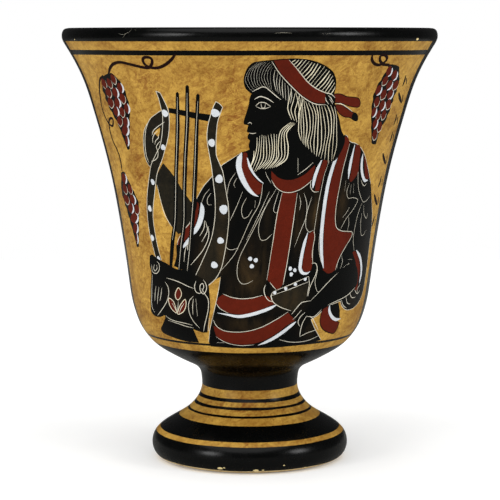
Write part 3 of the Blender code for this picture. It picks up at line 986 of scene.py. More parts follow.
# The head, turned to the left. The face is a plain one in even thirds, from brow to nose to chin.
head = {
    "hair": [
        (252, 94), (248.4, 91.5), (245, 87.5), (243.5, 80.5), (244.8, 73.6), (248, 67), (253.4, 62.4),
        (258, 61.4), (271.6, 59.9), (284, 58.8), (297.5, 58.5), (311, 60), (324, 64.8), (333, 71.6),
        (336.2, 79.5), (335.8, 87.6), (334.4, 94), (334.8, 103), (337.2, 112.6), (339.4, 119),
        (341.4, 130), (345, 139), (342, 150), (334, 161), (322, 160), (314, 166), (304, 175), (291, 180),
        (279, 178), (268, 168), (258, 164), (252, 158), (252, 158),
    ],
    "profile": [
        (252, 158), (252.6, 152.6), (249.6, 149.2), (248.6, 145.6), (249.8, 140.6), (249.8, 140.6),
        (247.6, 138.2), (247.8, 135.4), (249.6, 132.9), (249.6, 132.9), (246.9, 131.6), (247.4, 128.4),
        (248.2, 125.2), (248.2, 125.2), (244, 124.2), (243.6, 121.6), (246.6, 112), (248.9, 103.6),
        (249.4, 99), (251.4, 94), (252, 94), (252, 94),
    ],
    "ribbon": [
        (273.8, 60.6), (273.8, 60.6), (288.4, 59.4), (288.4, 59.4), (297, 69.2), (306, 80.8), (315, 88.6),
        (324.6, 93.2), (324.6, 93.2), (326, 98), (325, 103.4), (325, 103.4), (315.4, 102.6),
        (303.2, 95.8), (290.8, 84), (280, 72),
    ],
    "tailUpper": [
        (334, 94.8), (340.4, 93.9), (347, 96.6), (354, 97.2), (358.8, 98.6), (360.3, 103), (359.2, 106.7),
        (355, 107.2), (349.5, 106.2), (342, 103.4), (334, 102.6), (334, 102.6),
    ],
    "tailLower": [
        (335.6, 105), (342.1, 105.4), (348, 109), (353, 112.4), (356.6, 114), (357.6, 118),
        (356.2, 120.8), (353, 119.8), (350, 117.6), (344, 116.8), (339.2, 113.2), (336.2, 108.6),
    ],
    "tailTip": [
        (353.6, 112.8), (356.4, 113.2), (358.3, 118), (356.9, 121.4), (353.6, 120.4), (351.6, 117.6),
    ],
    "tailLine": [(335.6, 103.6), (341, 103.8), (346, 106.6), (352.2, 111.4)],
    "knot": [
        (325.4, 97), (329, 94.4), (334, 95.4), (335.4, 100), (333.6, 105), (328.8, 105.6), (325.6, 102),
    ],
    "fringe": [
        [(257.6, 62.6), (263, 62), (268, 61.6), (271.4, 63.4), (273.6, 67)],
        [(249.4, 69.6), (254, 68), (260, 67.4), (266, 68.6), (271.6, 70)],
        [(245.6, 79), (250.6, 77.6), (257, 77), (264, 77.6), (270, 78)],
        [(248.4, 87.4), (253, 86), (260, 85), (266.4, 85), (271.4, 88)],
        [(252.4, 91), (256, 89.4), (262, 87), (268, 88.4), (273.2, 92.4)],
    ],
    "sideLocks": [
        [(275, 70), (280.5, 77), (286, 83.4), (291, 88)],
        [(273.4, 79), (280, 85), (286, 91), (291.4, 96)],
        [(276.6, 91), (281.4, 96.4), (286.6, 101), (290.6, 103.6)],
    ],
    "fringeEdge": [
        (252.4, 91.6), (257, 89.4), (262, 87), (265.6, 87.4), (271, 91.6), (276, 96), (281, 99.8),
    ],
    "templeLocks": [
        [(291.6, 89.4), (297, 94), (303, 98.4)], [(289.4, 98), (294.6, 101.6), (301.4, 106)],
        [(288, 108), (291, 110), (298.6, 113)], [(291.6, 120), (294.6, 121), (299, 123)],
    ],
    "backHair": [
        [(296, 93), (303, 98.4), (312, 103.4), (322, 105), (330, 105.6), (334, 107)],
        [(298.6, 108), (305, 112), (313, 114), (322, 114.6), (331, 114), (336, 115)],
        [(299.4, 122), (306, 128), (314, 130), (323, 131), (331.4, 130.6), (337.4, 130)],
        [(298.6, 133), (307.4, 141), (315, 145), (323, 147), (330.6, 147), (336, 145.4)],
        [(300.4, 140), (310, 150.6), (318, 156.8), (325, 160), (330, 161.6), (333, 159)],
    ],
    "crown": [
        [(291.4, 62.8), (298, 70.6), (305, 79), (312, 86), (320, 90.6), (330, 95)],
        [(293.6, 61), (301.6, 65.6), (310, 71.6), (318, 77.6), (326, 83.6), (333, 91.6)],
        [(296, 59.6), (307, 60.8), (317, 63.8), (325.6, 68), (332, 75), (335, 86)],
    ],
    "ribbonEdges": [
        [(271.8, 61.4), (279.4, 73.2), (290.2, 85.2), (303, 97.2), (315.2, 104), (326, 104.8)],
        [(289.2, 60), (297.6, 69.4), (306.6, 80.8), (315.6, 88.2), (325, 92.6), (331, 94), (335, 97.6)],
        [(325.4, 97.4), (326.4, 101), (328.8, 104)], [(328.4, 95.4), (331, 98), (333.4, 102.4)],
        [(329.4, 99), (331.6, 101.6), (332.6, 104)],
    ],
    "beard": [
        [(257, 137.4), (261, 135.6), (266, 135.4), (271, 134.6), (276, 134.4)],
        [(256.4, 147), (262, 147), (267, 148), (272, 148.4), (277, 149)],
        [(254.6, 159), (260, 159), (265, 159.4), (270.6, 160), (276, 159.6)],
        [(249.6, 169.4), (253, 171), (257.6, 170), (262, 169.2), (267, 168.4)],
    ],
    "sideBeard": [
        [(291, 122.2), (294.6, 123.6)], [(280.6, 131), (287, 133)], [(278.4, 146), (288, 147)],
        [(278.4, 157), (286.4, 158.6)], [(270, 168), (276.6, 167)],
    ],
    "beardEdge": [(254, 151), (253.6, 158), (251, 166), (250.8, 169)],
    "face": [
        ([(254.4, 99.4), (260, 96.6), (267, 98.4), (273.6, 102.6)], 0.34),
        ([(255.6, 106), (259.6, 102.6), (265, 102.8), (270.6, 106.4)], 0.28),
        ([(256.4, 106.6), (261, 108.6), (266, 108.4), (270.4, 106.6)], 0.24),
        ([(261, 103.4), (261.8, 107.6), (264.4, 107.8), (265.6, 103.6)], 0.22),
        ([(247.8, 123.6), (250.2, 122.4), (251.8, 124)], 0.26),
        ([(249.2, 133), (253, 133.6), (256, 133)], 0.3), ([(298, 158.4), (298, 172.2)], 0.28),
        ([(313.4, 162.4), (306, 169), (297.6, 175)], 0.24),
    ],
}
area("black", [*head["hair"], *head["profile"][1:-1]])
area("red", head["ribbon"])
area("red", head["tailUpper"], "umber", 0.26)
area("red", head["tailLower"], "umber", 0.26)
area("black", head["tailTip"])
line("pale", head["tailLine"], 0.28)
area("black", head["knot"])

strands("pale", head["fringe"], 10, 0.06, 0.4)
strands("pale", head["sideLocks"], 7, 0.2, 0.35)
line("pale", head["fringeEdge"], 0.3)
strands("cream", head["templeLocks"], 4, 0.2, 0.3)
strands("cream", head["backHair"], 14, 0.19, 0.8)
strands("cream", head["crown"], 17, 0.28, 0.35)
strokes("pale", head["ribbonEdges"], 0.3)
# The beard runs from the temple down along the jaw
strands("cream", head["beard"], 9, 0.17, 0.6)
strands("cream", head["sideBeard"], 4, 0.2, 0.3)
line("cream", head["beardEdge"], 0.26)
# A plain eye, brow, nostril and mouth
for places, thick in head["face"]:
    line("pale", places, thick)

# The back, which the photograph doesn't show, has one plain palmette left in the clay's colour.
# Its places are in millimetres beside the middle of the back and above the ground.
palmette = {
    "root": (0, 70), "gap": 6,
    "petals": [(0, 30, 5.4), (24, 26, 4.8), (46, 21.5, 4.2), (70, 17, 3.6)],
    "petal": [(0, 0), (0.3, 0.3), (0.5, 0.66), (0.34, 0.92), (0, 1), (-0.34, 0.92), (-0.5, 0.66),
              (-0.3, 0.3)],
    "heart": [(-5, 69.6), (0, 73.4), (5, 69.6), (3.6, 66.4), (0, 65), (-3.6, 66.4)],
    "scroll": [(1.4, 63), (6, 60.4), (12, 60.6), (16.4, 64), (16.8, 68.8), (13.4, 71.4), (10, 69.6),
               (10.2, 66.4), (12.8, 65.8)],
    "scrollWidth": 1.8, "narrowing": 0.12,
    "leaf": [(1, 61.6, 1.4), (4, 56, 1.6), (1, 51.4, 0.7)],
}
for lean, length, width in palmette["petals"]:
    for side in ((1, -1) if lean else (1,)):
        angle = radians(lean * side)
        course = np.array([sin(angle), cos(angle)])
        beside = np.array([cos(angle), -sin(angle)])
        base = np.array(palmette["root"]) + course * palmette["gap"]
        petal = [tuple(base + course * length * y + beside * width * x) for x, y in palmette["petal"]]
        area("ochre", petal, carry=onBack)
        rib = [tuple(base + course * length * y) for y in (0.16, 0.5, 0.82)]
        line("black", rib, 0.5, carry=onBack)
area("ochre", palmette["heart"], carry=onBack)
for side in (1, -1):
    scroll = []
    for i, (x, y) in enumerate(palmette["scroll"]):
        scroll.append((side * x, y, palmette["scrollWidth"] - palmette["narrowing"] * i))
    line("ochre", scroll, carry=onBack)
    line("ochre", [(side * x, y, width) for x, y, width in palmette["leaf"]], carry=onBack)

# Small chips in the glaze along the foot's lower edge and the lip, and fine scratches on the lip
chips = {
    "front": [
        (220, 468.4, 1.6), (224, 467.9, 0.7), (256, 470.6, 1.7), (263, 470.2, 0.8), (284, 465.4, 0.6),
        (305, 467.4, 0.7), (74.6, 39.6, 0.6), (417.5, 39.2, 1.3),
    ],
    "scratches": [
        [(131.8, 29.2), (129.7, 31.7), (124.9, 34.2), (122.9, 37.6)],
        [(118.6, 33.4), (122, 34.6), (125, 34.2)], [(134.4, 29), (136, 31.4)],
        [(274, 33.2), (283, 32.6), (292, 33.2)], [(322, 34), (331, 33.4)],
    ],
    "roundFoot": [(-2.2, 1.6, 1.3), (1.9, 1.5, 1.5), (-3.4, 1.7, 1.0), (-1.5, 1.5, 0.9)],
    "wide": 0.7, "tall": 0.35,
}
for u, v, size in chips["front"]:
    dot("chip", (u, v), size, 0.55)
for places in chips["scratches"]:
    line("pale", places, 0.05, 0.2)
for azimuth, height, size in chips["roundFoot"]:
    spot = np.array([azimuth * unrolled, downAt(height)])
    angles = np.linspace(0, turn, 9)[:-1]
    lay("chip", spot + np.column_stack(
        [size * chips["wide"] * np.cos(angles), size * chips["tall"] * np.sin(angles)]
    ))
print("coats of paint:", len(layers))

# Unroll the outside, cut it along every outline, and give each triangle its topmost coat
paints = [
    "ochre", "black", "wash", "red", "white", "pale", "cream", "umber", "clay", "chip", "glaze",
    "inside",
]
# How closely the mesh keeps to each outline, and its longest step
closeness = {"outside": (0.012, 1.9), "inside": (0.012, 2.2), "underside": (0.015, 2.2)}
rows = keptAlong(outside, *closeness["outside"])
start = radians(seamAt - 360) * unrolled
gridAcross = start + np.arange(columns + 1) * turn * unrolled / columns
gridDown = outsideAlong[rows]

spots, spotIndex = [], {}
weldSteps = 2000  # to the millimetre: places that round to the same step are one


def spotFor(across, down):
    key = (round(across * weldSteps), round(down * weldSteps))
    if key not in spotIndex:
        spotIndex[key] = len(spots)
        spots.append((across, down))
    return spotIndex[key]


edges = set()
for down in gridDown:
    for across in gridAcross:
        spotFor(across, down)
seam = set(gridDown)
for paint, outline, guides in layers:
    for guide in guides:
        places = [spotFor(*place) for place in guide]
        edges.update((a, b) for a, b in zip(places, places[1:]) if a != b)
        if guide[0][0] <= start + 1e-6:
            seam.add(guide[0][1])
seam = sorted(seam)
for across in (gridAcross[0], gridAcross[-1]):
    places = [spotFor(across, down) for down in seam]
    edges.update((a, b) for a, b in zip(places, places[1:]) if a != b)
for down in (gridDown[0], gridDown[-1]):
    places = [spotFor(across, down) for across in gridAcross]
    edges.update(zip(places, places[1:]))
cutUp = delaunay_2d_cdt([Vector(spot) for spot in spots], sorted(edges), [], 0, 1e-4, False)
flat, _, triangles = cutUp[:3]
flat = np.array([tuple(spot) for spot in flat])
triangles = np.array([tuple(face) for face in triangles if len(face) == 3])
corner = flat[triangles]
size = np.abs(
    (corner[:, 1, 0] - corner[:, 0, 0]) * (corner[:, 2, 1] - corner[:, 0, 1])
    - (corner[:, 2, 0] - corner[:, 0, 0]) * (corner[:, 1, 1] - corner[:, 0, 1])
)
leastSize = 1e-7
triangles = triangles[size > leastSize]
middles = flat[triangles].mean(1)
print("unrolled triangles:", len(triangles))


def covered(outline, points):
    # Which points lie in an outline, however often it winds round them
    winds = np.zeros(len(points), int)
    x, y = points[:, 0], points[:, 1]
    for (x0, y0), (x1, y1) in zip(outline, np.roll(outline, -1, axis=0)):
        beside = (x1 - x0) * (y - y0) - (x - x0) * (y1 - y0)
        winds += ((y0 <= y) & (y1 > y) & (beside > 0)).astype(int)
        winds -= ((y0 > y) & (y1 <= y) & (beside < 0)).astype(int)
    return winds != 0


coat = np.full(len(triangles), paints.index("glaze"))
order = np.argsort(middles[:, 0])
sortedAcross = middles[order, 0]
for paint, outline, guides in layers:
    low, high = outline.min(0), outline.max(0)
    near = order[np.searchsorted(sortedAcross, low[0]):np.searchsorted(sortedAcross, high[0])]
    near = near[(middles[near, 1] >= low[1]) & (middles[near, 1] <= high[1])]
    coat[near[covered(outline, middles[near])]] = paints.index(paint)

# Where the black was brushed on thin, as (across, down the sheet, width, height, strength). The two at
# 365 and 377 down the sheet, on the black glaze below the panel, are not thin paint but a painted brown
# reflection.
thinAndReflectedPlaces = [
    (341, 210, 6, 17, 0.5), (313.6, 213, 4, 16, 1.0), (300, 222, 4, 26, 0.5), (256, 280, 14, 18, 0.75),
    (247, 266, 5, 16, 0.7), (262, 268, 6, 22, 0.6), (250, 325, 26, 7, 0.5), (287, 300, 14, 10, 0.4),
    (224, 212, 4, 10, 0.5), (222, 250, 4, 16, 0.8), (178, 300, 14, 10, 0.35), (203, 258, 6, 20, 0.35),
    # (254, 365) at the end of this row and (251, 377) on the next are a painted brown reflection on the
    # glaze below the panel
    (278, 252, 5, 20, 0.15), (236, 290, 8, 14, 0.35), (352, 300, 6, 6, 0.3), (254, 365, 28, 3.2, 0.3),
    (251, 377, 12, 4, 0.1), (312, 330, 10, 8, 0.3), (269, 222, 5, 20, 0.2), (366, 230, 4, 30, 0.1),
]
# Where the ochre is stained brown
stainPlaces = [
    (147, 80, 16, 15, 0.75), (214, 78, 34, 13, 0.55), (233, 112, 12, 48, 0.9), (143, 190, 7, 46, 0.85),
    (100, 64, 24, 9, 0.45), (345, 66, 18, 20, 0.5), (302, 46, 60, 5, 0.4), (130, 46, 60, 5, 0.4),
    (200, 130, 10, 40, 0.45), (132, 250, 8, 40, 0.55), (176, 140, 8, 40, 0.45), (218, 404, 12, 5, 0.8),
    (243, 409, 15, 12, 0.9), (264, 410, 16, 8, 0.5), (306, 411, 7, 6, 0.7), (200, 418, 20, 8, 0.35),
    (252, 446, 16, 5, 0.9), (272, 424, 24, 6, 0.4), (352, 322, 14, 16, 0.3), (150, 346, 40, 5, 0.4),
    (386, 150, 8, 40, 0.35),
]


def wearAndReflectionAt(places):
    # How strongly each spot of the outside is worn, from 0 to 1. For the list of thin places this
    # includes a painted brown reflection on the glaze below the panel.
    sheetUnit, softness = 0.27, 1.6
    centres = onCup([(u, v) for u, v, _, _, _ in places])
    strengths = np.zeros(len(flat))
    for (a, down), (_, _, wide, tall, strength) in zip(centres, places):
        across = (flat[:, 0] - a) * radiusAt(down) / unrolled / (wide * sheetUnit)
        below = (flat[:, 1] - down) / (tall * sheetUnit)
        strengths = np.maximum(strengths, strength * np.exp(-(across**2 + below**2) / softness))
    return strengths


# The bake's map: the front gets most of its room, then the sides and back, the foot and the inside
mapEdges = (0.004, 0.996)
mapPlaces = {
    "azimuths": (seamAt - 360, -84, 84, seamAt), "across": (mapEdges[0], 0.145, 0.945, mapEdges[1]),
    "heights": (120.5, 34), "down": (mapEdges[1], 0.962, 0.37, 0.235),
    "inside": (0.232, 0.075), "outside": (0.99, 0.98), "underside": (0.07, 0.012),
}


def mapAcross(azimuth):
    return np.interp(np.degrees(azimuth), mapPlaces["azimuths"], mapPlaces["across"])


def mapDown(down):
    stops = [0, *downAt(mapPlaces["heights"]), outsideLength]
    return np.interp(down, stops, mapPlaces["down"])


def turnedFaces(outline, spans):
    # Positions, faces and map places of a surface turned from an outline, row by row
    angles = np.radians(seamAt - 360) + np.arange(columns) * turn / columns
    vertices, faces, mapped = [], [], []
    starts = []
    for radius, height in outline:
        starts.append(len(vertices))
        if radius < 1e-6:
            vertices.append((0, 0, height))
        else:
            vertices += [(radius * sin(a), -radius * cos(a), height) for a in angles]
    for i in range(len(outline) - 1):
        upper, lower = outline[i][0] < 1e-6, outline[i + 1][0] < 1e-6
        for k in range(columns):
            ahead = (k + 1) % columns
            left, right = k / columns, (k + 1) / columns
            top, low = spans[i], spans[i + 1]
            if upper:
                face = [starts[i], starts[i + 1] + k, starts[i + 1] + ahead]
                place = [((left + right) / 2, top), (left, low), (right, low)]
            elif lower:
                face = [starts[i] + k, starts[i + 1], starts[i] + ahead]
                place = [(left, top), ((left + right) / 2, low), (right, top)]
            else:
                face = [starts[i] + k, starts[i + 1] + k, starts[i + 1] + ahead, starts[i] + ahead]
                place = [(left, top), (left, low), (right, low), (right, top)]
            faces.append(face)
            mapped.append([(mapEdges[0] + (mapEdges[1] - mapEdges[0]) * u, v) for u, v in place])
    return vertices, faces, mapped


def spread(outline, low, high):
    lengths = np.concatenate([[0], np.cumsum(np.linalg.norm(np.diff(outline, axis=0), axis=1))])
    return low + (high - low) * lengths / lengths[-1]


def meshFrom(name, vertices, faces, mapped, coats):
    mesh = bpy.data.meshes.new(name)
    mesh.from_pydata([tuple(np.array(v) * mm) for v in vertices], [], faces)
    for paint in paints:
        mesh.materials.append(materials[paint])
    mesh.polygons.foreach_set("material_index", coats)
    layer = mesh.uv_layers.new(name="OFBake")
    layer.uv.foreach_set("vector", [value for face in mapped for place in face for value in place])
    mesh.polygons.foreach_set("use_smooth", [True] * len(faces))
    mesh.update()
    return mesh


def tint(red, green, blue):
    # A colour as seen on a screen, 0 to 255, made linear
    linear = []
    for share in (red / 255, green / 255, blue / 255):
        linear.append(share / 12.92 if share <= 0.04045 else ((share + 0.055) / 1.055) ** 2.4)
    return (*linear, 1)


def put(tree, kind, inputs=None, **settings):
    # A node with its settings, and its inputs given as values or as sockets to link
    node = tree.nodes.new("ShaderNode" + kind)
    for key, value in settings.items():
        setattr(node, key, value)
    for key, value in (inputs or {}).items():
        if isinstance(value, bpy.types.NodeSocket):
            tree.links.new(value, node.inputs[key])
        else:
            node.inputs[key].default_value = value
    return node


def newGroup(name, inputs, outputs):
    group = bpy.data.node_groups.new(name, "ShaderNodeTree")
    for title, kind, value in inputs:
        made = group.interface.new_socket(title, in_out="INPUT", socket_type="NodeSocket" + kind)
        if value is not None:
            made.default_value = value
    for title, kind in outputs:
        group.interface.new_socket(title, in_out="OUTPUT", socket_type="NodeSocket" + kind)
    return group, group.nodes.new("NodeGroupInput")


def finishGroup(group, values):
    end = group.nodes.new("NodeGroupOutput")
    for title, socket in values.items():
        group.links.new(socket, end.inputs[title])


def noise(tree, scale, detail=3, roughness=0.5, distortion=0, stretch=None, tilt=0):
    spot = put(tree, "TexCoord").outputs["Object"]
    if stretch:
        spot = put(tree, "Mapping", {"Vector": spot, "Rotation": (0, radians(tilt), 0)}).outputs["Vector"]
        spot = put(tree, "Mapping", {"Vector": spot, "Scale": stretch}).outputs["Vector"]
    return put(tree, "TexNoise", {
        "Vector": spot, "Scale": scale, "Detail": detail, "Roughness": roughness,
        "Distortion": distortion,
    }).outputs["Fac"]


def lifted(tree, value, low, high, start=0.0, stop=1.0):
    return put(tree, "MapRange", {
        "Value": value, "From Min": low, "From Max": high, "To Min": start, "To Max": stop,
    }).outputs["Result"]


def blend(tree, share, first, second):
    node = put(tree, "Mix", {"Factor": share}, data_type="RGBA")
    for socket, value in ((node.inputs[6], first), (node.inputs[7], second)):
        if isinstance(value, bpy.types.NodeSocket):
            tree.links.new(value, socket)
        else:
            socket.default_value = value
    return node.outputs[2]


def combined(tree, operation, first, second):
    return put(tree, "Math", {0: first, 1: second}, operation=operation).outputs[0]


def unevenCoatGroup():
    # Colour that lies unevenly, as a brush leaves it: broad clouds, slanting streaks, small specks
    tree, entry = newGroup(
        "unevenCoat",
        [("Light", "Color", None), ("Deep", "Color", None), ("Stain", "Color", None),
         ("Cloudiness", "Float", 1.0), ("Streaks", "Float", 0.3), ("Specks", "Float", 0.3)],
        [("Color", "Color")],
    )
    given = entry.outputs
    clouds = lifted(tree, noise(tree, 60, 7, 0.7, 1.4), 0.38, 0.62)
    patches = lifted(tree, noise(tree, 420, 6, 0.85, 1.8), 0.4, 0.62)
    streaks = lifted(tree, noise(tree, 210, 6, 0.75, 1.6, (0.45, 0.45, 1.5), 24), 0.5, 0.64)
    specks = lifted(tree, noise(tree, 1100, 5, 0.8), 0.56, 0.7)
    dabs = lifted(tree, noise(tree, 120, 6, 0.75, 1.4), 0.58, 0.74)
    mixed = combined(tree, "MULTIPLY", combined(tree, "ADD", clouds, patches), 0.5)
    mixed = combined(tree, "MULTIPLY", mixed, given["Cloudiness"])
    color = blend(tree, mixed, given["Light"], given["Deep"])
    streaked = combined(tree, "MULTIPLY", streaks, given["Streaks"])
    color = blend(tree, streaked, color, given["Deep"])
    dirt = combined(tree, "MULTIPLY", combined(tree, "MAXIMUM", specks, dabs), given["Specks"])
    finishGroup(tree, {"Color": blend(tree, dirt, color, given["Stain"])})
    return tree


def firedSurfaceGroup():
    # A fired surface's gloss and the slight unevenness under it
    tree, entry = newGroup(
        "firedSurface",
        [("Roughness", "Float", 0.35), ("Spread", "Float", 0.3), ("Ripple", "Float", 0.1)],
        [("Roughness", "Float"), ("Height", "Float")],
    )
    given = entry.outputs
    fine = noise(tree, 260, 4, 0.6)
    wide = noise(tree, 40, 2, 0.5)
    grain = noise(tree, 1300, 3, 0.7)
    sway = combined(tree, "MULTIPLY", combined(tree, "SUBTRACT", fine, 0.5), given["Spread"])
    heights = combined(tree, "ADD", combined(tree, "ADD", fine, wide), grain)
    finishGroup(tree, {
        "Roughness": combined(tree, "ADD", sway, given["Roughness"]),
        "Height": combined(tree, "MULTIPLY", heights, given["Ripple"]),
    })
    return tree


def overlaidWearAndReflection(tree, color, attribute, pattern, under):
    # What shows where a paint is worn or stained, in a broken pattern. On the glaze below the panel it is
    # a painted brown reflection.
    share = put(tree, "Attribute", attribute_name=attribute).outputs["Fac"]
    return blend(tree, combined(tree, "MULTIPLY", share, pattern), color, under)


# Each paint: its light, deep and stain tints, how cloudy, streaked and specked it lies, and its
# roughness, ripple and specular level
finishes = {
    "ochre": ((208, 165, 74), (112, 66, 4), (100, 47, 8), (0.88, 0.45, 0.9), (0.38, 0.12, 0.12)),
    "black": ((2, 3, 3), (6, 6, 5), (24, 20, 13), (0.6, 0.2, 0.25), (0.26, 0.14, 0.12)),
    "glaze": ((2, 3, 3), (6, 6, 5), (24, 20, 13), (0.6, 0.2, 0.25), (0.26, 0.14, 0.22)),
    "inside": ((6, 7, 7), (10, 10, 9), (24, 22, 18), (0.6, 0.2, 0.2), (0.24, 0.1, 0.3)),
    "wash": ((36, 32, 22), (18, 17, 13), (58, 48, 30), (1.0, 0.5, 0.5), (0.32, 0.1, 0.1)),
    "red": ((94, 27, 11), (76, 21, 8), (50, 14, 7), (0.8, 0.25, 0.25), (0.42, 0.1, 0.06)),
    "white": ((212, 216, 219), (182, 187, 192), (150, 150, 150), (0.7, 0.3, 0.15), (0.42, 0.1, 0.12)),
    "pale": ((222, 218, 202), (188, 180, 158), (112, 98, 72), (1.0, 0.3, 0.5), (0.45, 0.1, 0.3)),
    "cream": ((240, 234, 208), (212, 198, 160), (140, 118, 78), (0.9, 0.3, 0.4), (0.45, 0.1, 0.3)),
    "umber": ((34, 14, 10), (22, 10, 8), (16, 9, 7), (0.8, 0.3, 0.2), (0.4, 0.1, 0.06)),
    "clay": ((220, 196, 148), (196, 168, 118), (150, 118, 78), (1.0, 0.3, 0.6), (0.8, 0.1, 0.3)),
    "chip": ((230, 212, 156), (208, 184, 126), (160, 130, 86), (0.9, 0.2, 0.4), (0.7, 0.1, 0.3)),
}
# The tint that shows under thin black, which on the glaze below the panel is a painted brown reflection,
# and the tint of stains on the ochre
underTintsAndReflection = {"thinnessAndReflection": (74, 56, 30), "staining": (112, 52, 8)}
unevenness = {"strength": 0.5, "depth": 0.00012}  # the depth in metres
unevenCoat = unevenCoatGroup()
firedSurface = firedSurfaceGroup()


def paintMaterial(name):
    light, deep, stain, (cloudy, streaked, specked), (rough, ripple, specular) = finishes[name]
    material = bpy.data.materials.new(name)
    material.use_nodes = True
    tree = material.node_tree
    shader = tree.nodes["Principled BSDF"]
    color = put(tree, "Group", {
        "Light": tint(*light), "Deep": tint(*deep), "Stain": tint(*stain), "Cloudiness": cloudy,
        "Streaks": streaked, "Specks": specked,
    }, node_tree=unevenCoat).outputs["Color"]
    # Thin black shows brown through a brushed pattern. On the glaze below the panel the same mix is a
    # painted brown reflection.
    if name in ("black", "glaze", "wash"):
        brushAndReflectionPattern = lifted(tree, noise(tree, 150, 4, 0.6, 1.0, (1.6, 1.6, 0.45)), 0.3, 0.75)
        color = overlaidWearAndReflection(tree, color, "thinnessAndReflection", brushAndReflectionPattern, tint(*underTintsAndReflection["thinnessAndReflection"]))
    if name == "ochre":
        flecks = lifted(tree, noise(tree, 420, 7, 0.8, 1.2, (0.7, 0.7, 1.2), 24), 0.45, 0.58)
        color = overlaidWearAndReflection(tree, color, "staining", flecks, tint(*underTintsAndReflection["staining"]))
    surface = put(tree, "Group", {"Roughness": rough, "Ripple": ripple}, node_tree=firedSurface).outputs
    bump = put(tree, "Bump", {
        "Strength": unevenness["strength"], "Distance": unevenness["depth"],
        "Height": surface["Height"],
    })
    tree.links.new(color, shader.inputs["Base Color"])
    tree.links.new(surface["Roughness"], shader.inputs["Roughness"])
    tree.links.new(bump.outputs["Normal"], shader.inputs["Normal"])
    shader.inputs["Specular IOR Level"].default_value = specular
    return material


materials = {name: paintMaterial(name) for name in finishes}
print("finishes:", len(materials))


def inScene(name, data):
    made = bpy.data.objects.new(name, data)
    bpy.context.scene.collection.objects.link(made)
    return made


# The whole cup turned once, so that the siphon can be cut through it
inner = insideOutline()
inner = inner[keptAlong(inner, *closeness["inside"])]
under = undersideOutline()
under = under[keptAlong(under, *closeness["underside"])]
outer = outside[rows]
solidOutline = np.concatenate([inner, outer[1:-1], under])
insideSpans = spread(inner, *mapPlaces["inside"])
outerSpans = np.linspace(*mapPlaces["outside"], len(outer))
underSpans = spread(under, *mapPlaces["underside"])
vertices, faces, mapped = turnedFaces(
    solidOutline, np.concatenate([insideSpans, outerSpans[1:-1], underSpans])
)
coats = []
fillRing = {"half": 0.9, "clearOfColumn": 6}
placeholder = "black"  # marks the plain outside, which the painted one replaces after the cut
for i in range(len(solidOutline) - 1):
    height = (solidOutline[i][1] + solidOutline[i + 1][1]) / 2
    radius = (solidOutline[i][0] + solidOutline[i + 1][0]) / 2
    if i < len(inner) - 1:
        onWall = radius > columnFoot + fillRing["clearOfColumn"]
        onRing = onWall and abs(height - fillLine) < fillRing["half"]
        paint = "ochre" if onRing else "inside"
    elif i < len(inner) + len(outer) - 2:
        paint = placeholder
    else:
        paint = "clay"
    coats += [paints.index(paint)] * columns
turned = inScene("turned", meshFrom("turned", vertices, faces, mapped, coats))


def siphonRoute():
    # The middle of the passage: up from the drain, over the bend, down the riser and out
    drainEnd = foot["hollowHeight"] - siphon["bore"]
    inletEnd = columnFoot + column["fillet"] + boreRadius
    bend = arc((riserOffset / 2, bendCentre), riserOffset / 2, riserOffset / 2, 0.5, 0, 21)
    turnCentre = (riserOffset + siphon["bend"], inletHeight + siphon["bend"])
    turnOut = arc(turnCentre, siphon["bend"], siphon["bend"], 0.5, 0.75, 11)
    return np.array([(0, drainEnd), *bend, *turnOut, (inletEnd, inletHeight)])


def passageMesh():
    # The tube round the route. Its map places lie along the map's lower edge.
    route = siphonRoute()
    gone = np.concatenate([[0], np.cumsum(np.linalg.norm(np.diff(route, axis=0), axis=1))])
    mapStart, mapLength, mapLow, mapHeight = 0.004, 0.8, 0.001, 0.009
    sides = siphon["sides"]
    courses = np.gradient(route, axis=0)
    courses /= np.linalg.norm(courses, axis=1)[:, None]
    vertices, faces, mapped = [], [], []
    for (x, z), (dx, dz) in zip(route, courses):
        for k in range(sides):
            angle = turn * k / sides
            out = boreRadius * cos(angle)
            vertices.append((x + out * dz, boreRadius * sin(angle), z - out * dx))
    for i in range(len(route) - 1):
        u0, u1 = [mapStart + mapLength * gone[j] / gone[-1] for j in (i, i + 1)]
        for k in range(sides):
            ahead = (k + 1) % sides
            face = [(i, k), (i, ahead), (i + 1, ahead), (i + 1, k)]
            faces.append([row * sides + place for row, place in face])
            v0, v1 = mapLow + mapHeight * k / sides, mapLow + mapHeight * (k + 1) / sides
            mapped.append([(u0, v0), (u0, v1), (u1, v1), (u1, v0)])
    first = list(range(sides))[::-1]
    last = list(range(len(vertices) - sides, len(vertices)))
    capMiddles, capRadius, capHeight = (0.9, 0.95), 0.004, 0.005
    for cap, middle in zip((first, last), capMiddles):
        angles = [turn * k / sides for k in range(sides)]
        faces.append(cap)
        mapped.append([(middle + capRadius * cos(a), capHeight + capRadius * sin(a)) for a in angles])
    return meshFrom("siphonPassage", vertices, faces, mapped, [paints.index("inside")] * len(faces))


cutter = inScene("siphonPassage", passageMesh())


def outward(mesh):
    shape = bmesh.new()
    shape.from_mesh(mesh)
    bmesh.ops.recalc_face_normals(shape, faces=shape.faces)
    shape.to_mesh(mesh)
    shape.free()


for made in (turned, cutter):
    outward(made.data)
# The passage is cut through the turned solid
cut = turned.modifiers.new("siphon", "BOOLEAN")
cut.operation = "DIFFERENCE"
cut.solver = "EXACT"
cut.object = cutter
bpy.context.view_layer.update()
graph = bpy.context.evaluated_depsgraph_get()
hollowed = bpy.data.meshes.new_from_object(turned.evaluated_get(graph))
for made in (turned, cutter):
    bpy.data.objects.remove(made, do_unlink=True)
print("hollowed:", len(hollowed.polygons))

